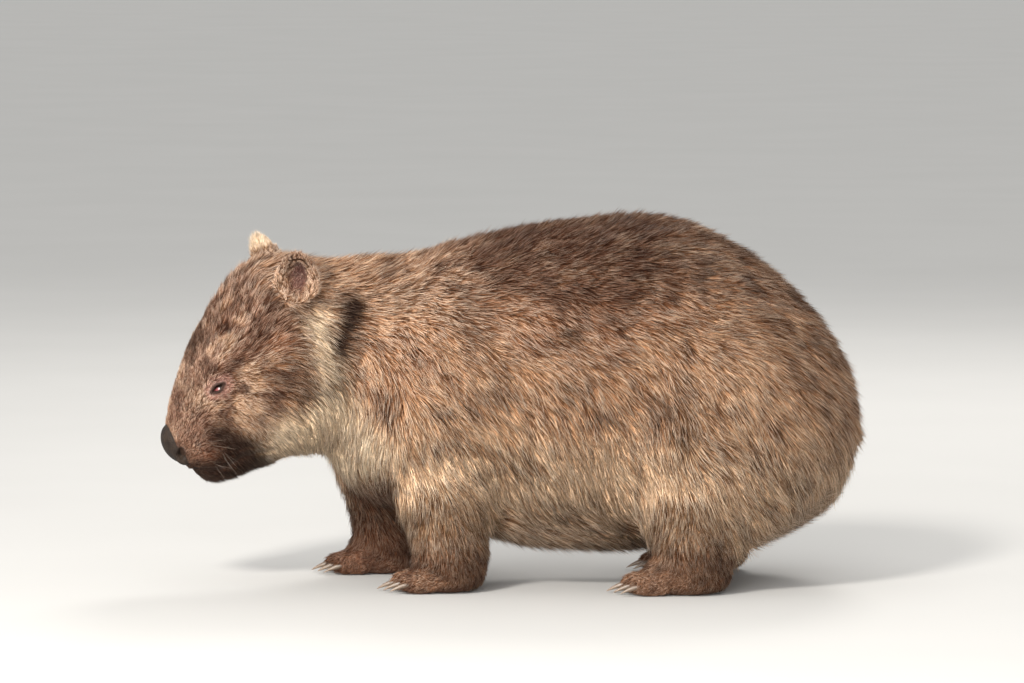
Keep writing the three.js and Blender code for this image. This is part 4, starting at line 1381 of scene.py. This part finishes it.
# Thickness, size of a clump in metres and pull of a clump
COAT_STYLE = {
    "coat_face_left": (1.15, 0.0055, 0.35),
    "coat_face_right": (1.0, 0.0055, 0.35),
    "coat_cheek_left": (1.15, 0.009, 0.55),
    "coat_cheek_right": (1.0, 0.009, 0.55),
    "coat_shoulders": (1.05, 0.011, 0.5),
    "coat_flank_left": (1.05, 0.012, 0.5),
    "coat_flank_right": (0.95, 0.012, 0.5),
    "coat_rump_left": (1.0, 0.012, 0.5),
    "coat_rump_right": (0.95, 0.012, 0.5),
    "coat_forelegs": (0.9, 0.008, 0.35),
    "coat_hindlegs": (0.9, 0.008, 0.35),
}
face_area = np.empty(face_count)
mesh.polygons.foreach_get("area", face_area)
weighted_area = face_area * per_face(closeness)
piece_area = {name: weighted_area[part == n].sum() for name, n in NUMBER.items()}
each = ALL_TUFTS / sum(COAT_STYLE[name][0] * area for name, area in piece_area.items())
print("layers of hair over the skin:", round(each / 1e6, 2))

# %% Plant every piece
SPARE = ("lie", "length", "girth", "rise", "closeness", "part", "root_uv", "patch")
coat = {}
for name, (thickness, clump_size, clump_pull) in COAT_STYLE.items():
    settings = {
        "Part": NUMBER[name],
        "Tufts per square metre": float(each * thickness),
        "Clump size": clump_size,
        "Clump pull": clump_pull,
        "Stray": STRAY,
        "Seed": FIRST_SEED + NUMBER[name],
        "Finish": hair,
    }
    coat[name] = grown_by(coat_tree, mesh, settings, name)
    for spare in SPARE:
        attribute = coat[name].data.attributes.get(spare)
        if attribute:
            coat[name].data.attributes.remove(attribute)
    print(name, "triangles:", len(coat[name].data.loops) // 3)

# %% [markdown]
# ## The eyes
#
# The eye is small, dark and deep, and in the photo it is half shut. The ball stays its own piece behind
# the lids. Only a sliver shows, so the finish matters more than the shape: a wet dark iris, and a pink
# strip of lining towards the inner corner. A slight swell in front stands for the cornea.

# %% Eyeballs
eye_finish, tree, shader = new_finish("wet_eye", Roughness=0.08, Coat_Weight=1.0, Coat_Roughness=0.03)
DARK_IRIS, PINK_LINING = (0.012, 0.007, 0.005, 1), (0.19, 0.045, 0.045, 1)
eye_colour = mix_colour(tree, number_on(tree, "lining"), DARK_IRIS, PINK_LINING)
tree.links.new(eye_colour, shader.inputs["Base Color"])
# How much smaller the ball is than its socket, and how far the cornea swells, as a part of the radius
BALL_GAP, CORNEA = 0.2, 0.05


def eyeball(name):
    work = bmesh.new()
    bmesh.ops.create_uvsphere(work, u_segments=40, v_segments=26, radius=EYE["radius"] - BALL_GAP)
    ball = bpy.data.meshes.new("eyeball_" + name)
    work.to_mesh(ball)
    work.free()
    p = np.empty(len(ball.vertices) * 3)
    ball.vertices.foreach_get("co", p)
    p = p.reshape(-1, 3)
    facing = p[:, 2] / EYE["radius"]
    p *= (1 + CORNEA * smooth_step(0.86, 1.0, facing))[:, None]
    side = SIDES[name]
    turn = side * SLIT["slant"]
    inner = -side * (p[:, 0] * math.cos(turn) + p[:, 1] * math.sin(turn))
    lining = smooth_step(-1.5, 0.5, inner) * smooth_step(3.2, 1.8, p[:, 1] + 0.5 * inner)
    store(ball, "lining", "FLOAT", lining)
    centre = np.mean(box_mm("eye_" + name), axis=0)
    turned_points = p @ EYE_FRAMES[name][:3, :3].T + centre
    ball.vertices.foreach_set("co", (turned_points * MM).astype(np.float32).ravel())
    smooth_shaded(ball)
    ball.materials.append(eye_finish)
    return shown("eyeball_" + name, ball)


eyes = {name: eyeball(name) for name in SIDES}
print("eyeballs:", list(eyes))

# %% [markdown]
# ## The nose
#
# The nose is a bare, grained pad with two slanted nostrils and a groove down its middle. Its form is
# smooth and hollowed, so it is another distance field, cut by the same nostrils that dent the skin, and
# sampled on a fine grid. The grain is a cell pattern in the finish, at the scale of real nose leather.


# %% The nose pad
def nose_form(u, v, w):
    pad = blend(7, nose_distance, *pair((176, 14, 5), (11, 8, 9)))(u, v, w)
    for hole in nostrils:
        pad = soft_max(pad, -hole(u, v, w), 4)
    groove = np.hypot(v / 1.3, (w + 2) / 14) - 1
    front = np.abs(u - 188) - 6
    return soft_max(pad, -np.maximum(groove * 1.5, front), 2.0)


NOSE_CELL = 0.9
NOSE_BOX = ((148, 199), (-30, 31), (-14, 48))
nose_points, nose_quads = cells_to_mesh(nose_form, *(np.arange(*ends, NOSE_CELL) for ends in NOSE_BOX))
nose_points = onto_surface(nose_form, nose_points, NOSE_CELL)
nose_mesh = bpy.data.meshes.new("nose_pad")
in_world = nose_points @ HEAD_FRAME[:3, :3].T + HEAD_FRAME[:3, 3] + SHIFT
nose_mesh.from_pydata(in_world * MM, [], nose_quads)
smooth_shaded(nose_mesh)
print("nose pad faces:", len(nose_quads))

# %% The nose leather
leather, tree, shader = new_finish("nose_leather", Roughness=0.6, Specular_IOR_Level=0.16)
place = place_on_object(tree)
grain = node(tree, "ShaderNodeTexVoronoi", {"Vector": place, "Scale": 620.0}, feature="F1")
tone = map_range(tree, noise_at(tree, place, 120.0, 4.0), 0.3, 0.7, 0.0, 1.0)
leather_colour = mix_colour(tree, tone, (0.009, 0.006, 0.005, 1), (0.030, 0.020, 0.014, 1))
tree.links.new(leather_colour, shader.inputs["Base Color"])
roughen(tree, shader, grain.outputs["Distance"], 0.8, 0.0007)
nose_mesh.materials.append(leather)
nose = shown("nose_pad", nose_mesh)
print("nodes in the nose leather:", len(tree.nodes))

# %% [markdown]
# ## Claws and whiskers
#
# A claw and a whisker are the same thing to a modeller: a path that droops, swept by a ring that shrinks
# to a point. One tree makes both. It grows a spike from every point it is given, turns it to the point's
# own facing, and takes its sizes as named inputs.

# %% The tree that grows drooping spikes
spike_tree, given, result = new_tree(
    "Drooping spikes",
    {
        "Length": ("Float", 0.036),
        "Droop": ("Float", 0.25),
        "Girth": ("Float", 0.008),
        "Height over girth": ("Float", 1.1),
        "Sides": ("Int", 12),
        "Rings": ("Int", 10),
        "Finish": ("Material", None),
    },
)
# Where the path bends, how the radius shrinks towards the tip, and the radius left at the tip itself
BEND_AT, SHRINKING, BLUNTNESS = 0.55, 0.72, 0.03
reach = given["Length"]
drop = math_node(spike_tree, "MULTIPLY", math_node(spike_tree, "MULTIPLY", reach, given["Droop"]), -1.0)
bend = math_node(spike_tree, "MULTIPLY", reach, BEND_AT)
halfway = node(spike_tree, "ShaderNodeCombineXYZ", {"X": bend}).outputs[0]
far_end = node(spike_tree, "ShaderNodeCombineXYZ", {"X": reach, "Z": drop}).outputs[0]
path = node(
    spike_tree,
    "GeometryNodeCurveQuadraticBezier",
    {"Resolution": given["Rings"], "Start": (0, 0, 0), "Middle": halfway, "End": far_end},
)
along_path = node(spike_tree, "GeometryNodeSplineParameter").outputs["Factor"]
left_over = math_node(spike_tree, "SUBTRACT", 1.0, along_path)
swell = math_node(spike_tree, "MAXIMUM", math_node(spike_tree, "POWER", left_over, SHRINKING), BLUNTNESS)
half_girth = math_node(spike_tree, "MULTIPLY", given["Girth"], 0.5)
radius = math_node(spike_tree, "MULTIPLY", swell, half_girth)
path = keep_as(spike_tree, path.outputs[0], "along", along_path)
ring = node(spike_tree, "GeometryNodeCurvePrimitiveCircle", {"Resolution": given["Sides"], "Radius": 1.0})
taller = node(spike_tree, "ShaderNodeCombineXYZ", {"X": 1.0, "Y": given["Height over girth"], "Z": 1.0})
ring = node(spike_tree, "GeometryNodeTransform", {"Geometry": ring.outputs[0], "Scale": taller.outputs[0]})
swept = node(
    spike_tree,
    "GeometryNodeCurveToMesh",
    {"Curve": path, "Profile Curve": ring.outputs[0], "Scale": radius, "Fill Caps": True},
)
print("nodes so far:", len(spike_tree.nodes))

# %% Turn a spike at each point and end the tree
facing = named(spike_tree, "facing", "FLOAT_VECTOR")
turn = node(spike_tree, "FunctionNodeAlignRotationToVector", {"Vector": facing}, axis="X")
turn = node(
    spike_tree,
    "FunctionNodeAlignRotationToVector",
    {"Rotation": turn.outputs[0], "Vector": named(spike_tree, "up", "FLOAT_VECTOR")},
    axis="Z",
    pivot_axis="X",
)
placed = node(
    spike_tree,
    "GeometryNodeInstanceOnPoints",
    {
        "Points": given["Geometry"],
        "Instance": swept.outputs[0],
        "Rotation": turn.outputs[0],
        "Scale": named(spike_tree, "size"),
    },
)
real = node(spike_tree, "GeometryNodeRealizeInstances", {"Geometry": placed.outputs[0]}).outputs[0]
end_tree(spike_tree, given, result, real)
print("nodes in the spike tree:", len(spike_tree.nodes))

# %% The finish of the claws: dull horn with fine fibres, paler towards the tip
horn, tree, shader = new_finish("claw_horn", Roughness=0.38, Specular_IOR_Level=0.5)
FIBRE_SCALE = (60.0, 900.0, 900.0)
stretched = node(tree, "ShaderNodeMapping", {"Vector": place_on_object(tree), "Scale": FIBRE_SCALE})
fibres = noise_at(tree, stretched.outputs[0], 1.0, 3.0)
towards_tip = map_range(tree, number_on(tree, "along"), 0.2, 1.0, 0.0, 1.0)
horn_colour = mix_colour(tree, towards_tip, (0.050, 0.034, 0.024, 1), (0.20, 0.140, 0.095, 1))
streaks = map_range(tree, fibres, 0.3, 0.7, 0.75, 1.2)
tree.links.new(shaded(tree, horn_colour, streaks), shader.inputs["Base Color"])
roughen(tree, shader, fibres, 0.25, 0.0004)
print("nodes in the horn:", len(tree.nodes))

# %% Claws, one object for each paw
CLAW = {"Length": 0.035, "Droop": 0.27, "Girth": 0.0088, "Height over girth": 1.15, "Rings": 14, "Sides": 14}
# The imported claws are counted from 1, and this is the number of the middle toe
MIDDLE_TOE = 3
# How much further out each toe points than the last, how far all point up, and how much they shrink
SPLAY, LIFT, SHORTER = 0.07, 0.02, 0.05


def spike_points(name, at, facing, up, size):
    """Loose points with the facing, the up direction and the size that the tree reads."""
    cloud = bpy.data.meshes.new(name)
    cloud.from_pydata((np.asarray(at) + SHIFT) * MM, [], [])
    store(cloud, "facing", "FLOAT_VECTOR", facing)
    store(cloud, "up", "FLOAT_VECTOR", up)
    store(cloud, "size", "FLOAT", size)
    return cloud


claws = {}
for leg_name, leg in LEGS.items():
    paw_name = leg_name.replace("leg", "paw")
    nodes = [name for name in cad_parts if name.startswith("claw_" + paw_name)]
    toes = [int(name.rsplit("_", 1)[1]) - MIDDLE_TOE for name in nodes]
    cloud = spike_points(
        "toes_" + paw_name,
        [toe_point(leg, n) for n in toes],
        [(-1, SPLAY * n, LIFT) for n in toes],
        [(0, 0, 1)] * len(toes),
        [1 - SHORTER * abs(n) for n in toes],
    )
    made = grown_by(spike_tree, cloud, {**CLAW, "Finish": horn}, "claws_" + paw_name)
    claws[paw_name] = (made, nodes)
    print(made.name, "faces:", len(made.data.polygons))

# %% Whiskers, scattered over the upper lip
WHISKER = {"Length": 0.031, "Droop": 0.16, "Girth": 0.00036, "Height over girth": 1.0, "Rings": 5, "Sides": 4}
WHISKER_COUNT = 30
bristle, tree, shader = new_finish("whisker", Roughness=0.4)
whisker_colour = mix_colour(tree, number_on(tree, "along"), (0.06, 0.04, 0.03, 1), (0.34, 0.26, 0.20, 1))
tree.links.new(whisker_colour, shader.inputs["Base Color"])
draw = np.random.default_rng(31)
on_lip = (u > 132) & (u < 168) & (np.abs(v) > 16) & (w > -20) & (w < 12)
beds = np.flatnonzero(on_lip & (mouth_gap > 5) & (nose_distance(u, v, w) > 4))
chosen = draw.choice(beds, WHISKER_COUNT, replace=False)
swept_back = mixed(normals[chosen], lie[chosen], draw.uniform(0.35, 0.75, len(chosen)))
swept_back = unit(swept_back + (0, 0, -0.2) + 0.22 * draw.uniform(-1, 1, (len(chosen), 3)))
whisker_scale = draw.uniform(0.4, 1.1, len(chosen))
under_skin = skin_points[chosen] - normals[chosen]
cloud = spike_points("whisker_beds", under_skin, swept_back, normals[chosen], whisker_scale)
whiskers = grown_by(spike_tree, cloud, {**WHISKER, "Finish": bristle}, "whiskers")
print("whiskers:", len(chosen))

# %% [markdown]
# ## What stands for what
#
# Every piece is tied to the imported body, and the imported nodes it stands for are hidden. The skin
# stands for all the flesh at once, so that no seam shows between neck and torso or leg and paw. Eyes,
# nose and claws each stand for their own nodes.

# %% Tie the pieces to the imported model
FLESH = [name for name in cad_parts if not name.startswith(("claw_", "eye_", "nose"))]
skin.data.uv_layers.remove(skin.data.uv_layers["root_uv"])
for spare in SPARE:
    attribute = skin.data.attributes.get(spare)
    if attribute:
        skin.data.attributes.remove(attribute)
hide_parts(*FLESH)
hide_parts("nose")
for name, ball in eyes.items():
    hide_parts("eye_" + name)
for made, nodes in claws.values():
    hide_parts(*nodes)
pieces = [skin, nose, whiskers, *coat.values(), *eyes.values(), *(made for made, _ in claws.values())]
for piece in pieces:
    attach(piece, BODY)
triangles = sum(len(piece.data.loops) - 2 * len(piece.data.polygons) for piece in pieces)
print("pieces:", len(pieces), "triangles in all:", triangles)

# %% [markdown]
# ## Floor, light and camera
#
# A pale floor and three soft lights show the form without hard shadows: a key high in front of the
# animal's left side, a wide low fill beside it, and a weaker light behind that rims the back. A world
# that is paler above than below fills the rest. The camera looks along +Y from six metres away and five
# degrees up, which is how the photo sees the animal's left side.

# %% Floor
FLOOR = 40.0
floor_mesh = bpy.data.meshes.new("floor")
floor_mesh.from_pydata(
    [(-FLOOR, -FLOOR, 0), (FLOOR, -FLOOR, 0), (FLOOR, FLOOR, 0), (-FLOOR, FLOOR, 0)], [], [(0, 1, 2, 3)]
)
pale, tree, shader = new_finish("pale_floor", Roughness=0.95, Specular_IOR_Level=0.1)
mottle = noise_at(tree, place_on_object(tree), 3.0, 2.0)
floor_colour = mix_colour(tree, mottle, (0.43, 0.425, 0.415, 1), (0.46, 0.455, 0.445, 1))
tree.links.new(floor_colour, shader.inputs["Base Color"])
floor_mesh.materials.append(pale)
floor = shown("floor", floor_mesh)
print("floor, from side to side:", 2 * FLOOR, "m")

# %% The world around
SKY = [(0.0, (0.60, 0.60, 0.60)), (0.12, (0.76, 0.76, 0.75)), (0.8, (1.0, 1.0, 0.99))]
bpy.context.scene.view_settings.view_transform = "Standard"
world = bpy.data.worlds.new("studio")
world.use_nodes = True
around = world.node_tree
direction = node(around, "ShaderNodeTexCoord").outputs["Generated"]
upwards = node(around, "ShaderNodeSeparateXYZ", {"Vector": direction}).outputs["Z"]
around.links.new(ramp(around, upwards, SKY), around.nodes["Background"].inputs["Color"])
around.nodes["Background"].inputs["Strength"].default_value = 1.1
bpy.context.scene.world = world
print("stops of the sky:", len(SKY))

# %% Lights
AIM = Vector((0, 0, 0.2))


def soft_light(name, at, power, size, colour):
    """A square light at a place, aimed at the middle of the animal; power in watts, size in metres."""
    lamp = bpy.data.lights.new(name, "AREA")
    lamp.energy, lamp.size, lamp.color = power, size, colour
    made = shown(name, lamp)
    made.location = at
    made.rotation_euler = (AIM - Vector(at)).to_track_quat("-Z", "Y").to_euler()
    print(name, "light:", power, "W,", size, "m")


soft_light("key", (-1.3, -2.6, 2.3), 150, 0.6, (1.0, 0.96, 0.90))
soft_light("fill", (-0.7, -3.0, 0.35), 150, 1.6, (1.0, 0.98, 0.96))
soft_light("back", (0.6, 2.2, 2.2), 45, 0.9, (1.0, 0.97, 0.93))

# %% Camera
# The point in the middle of the picture, in millimetres in the animal's own frame
PICTURE_MIDDLE = (5.0, 0.0, 249.0)
ELEVATION, DISTANCE, FRAME_WIDTH = math.radians(5), 6.0, 1.055
camera = bpy.data.cameras.new("camera")
camera.sensor_width = 36.0
camera.lens = camera.sensor_width * DISTANCE / FRAME_WIDTH
looked_at = Vector((np.array(PICTURE_MIDDLE) + SHIFT) * MM)
camera_object = shown("camera", camera)
camera_object.location = looked_at + DISTANCE * Vector((0, -math.cos(ELEVATION), math.sin(ELEVATION)))
camera_object.rotation_euler = (math.pi / 2 - ELEVATION, 0, 0)
bpy.context.scene.camera = camera_object
print("lens:", round(camera.lens, 1), "mm")
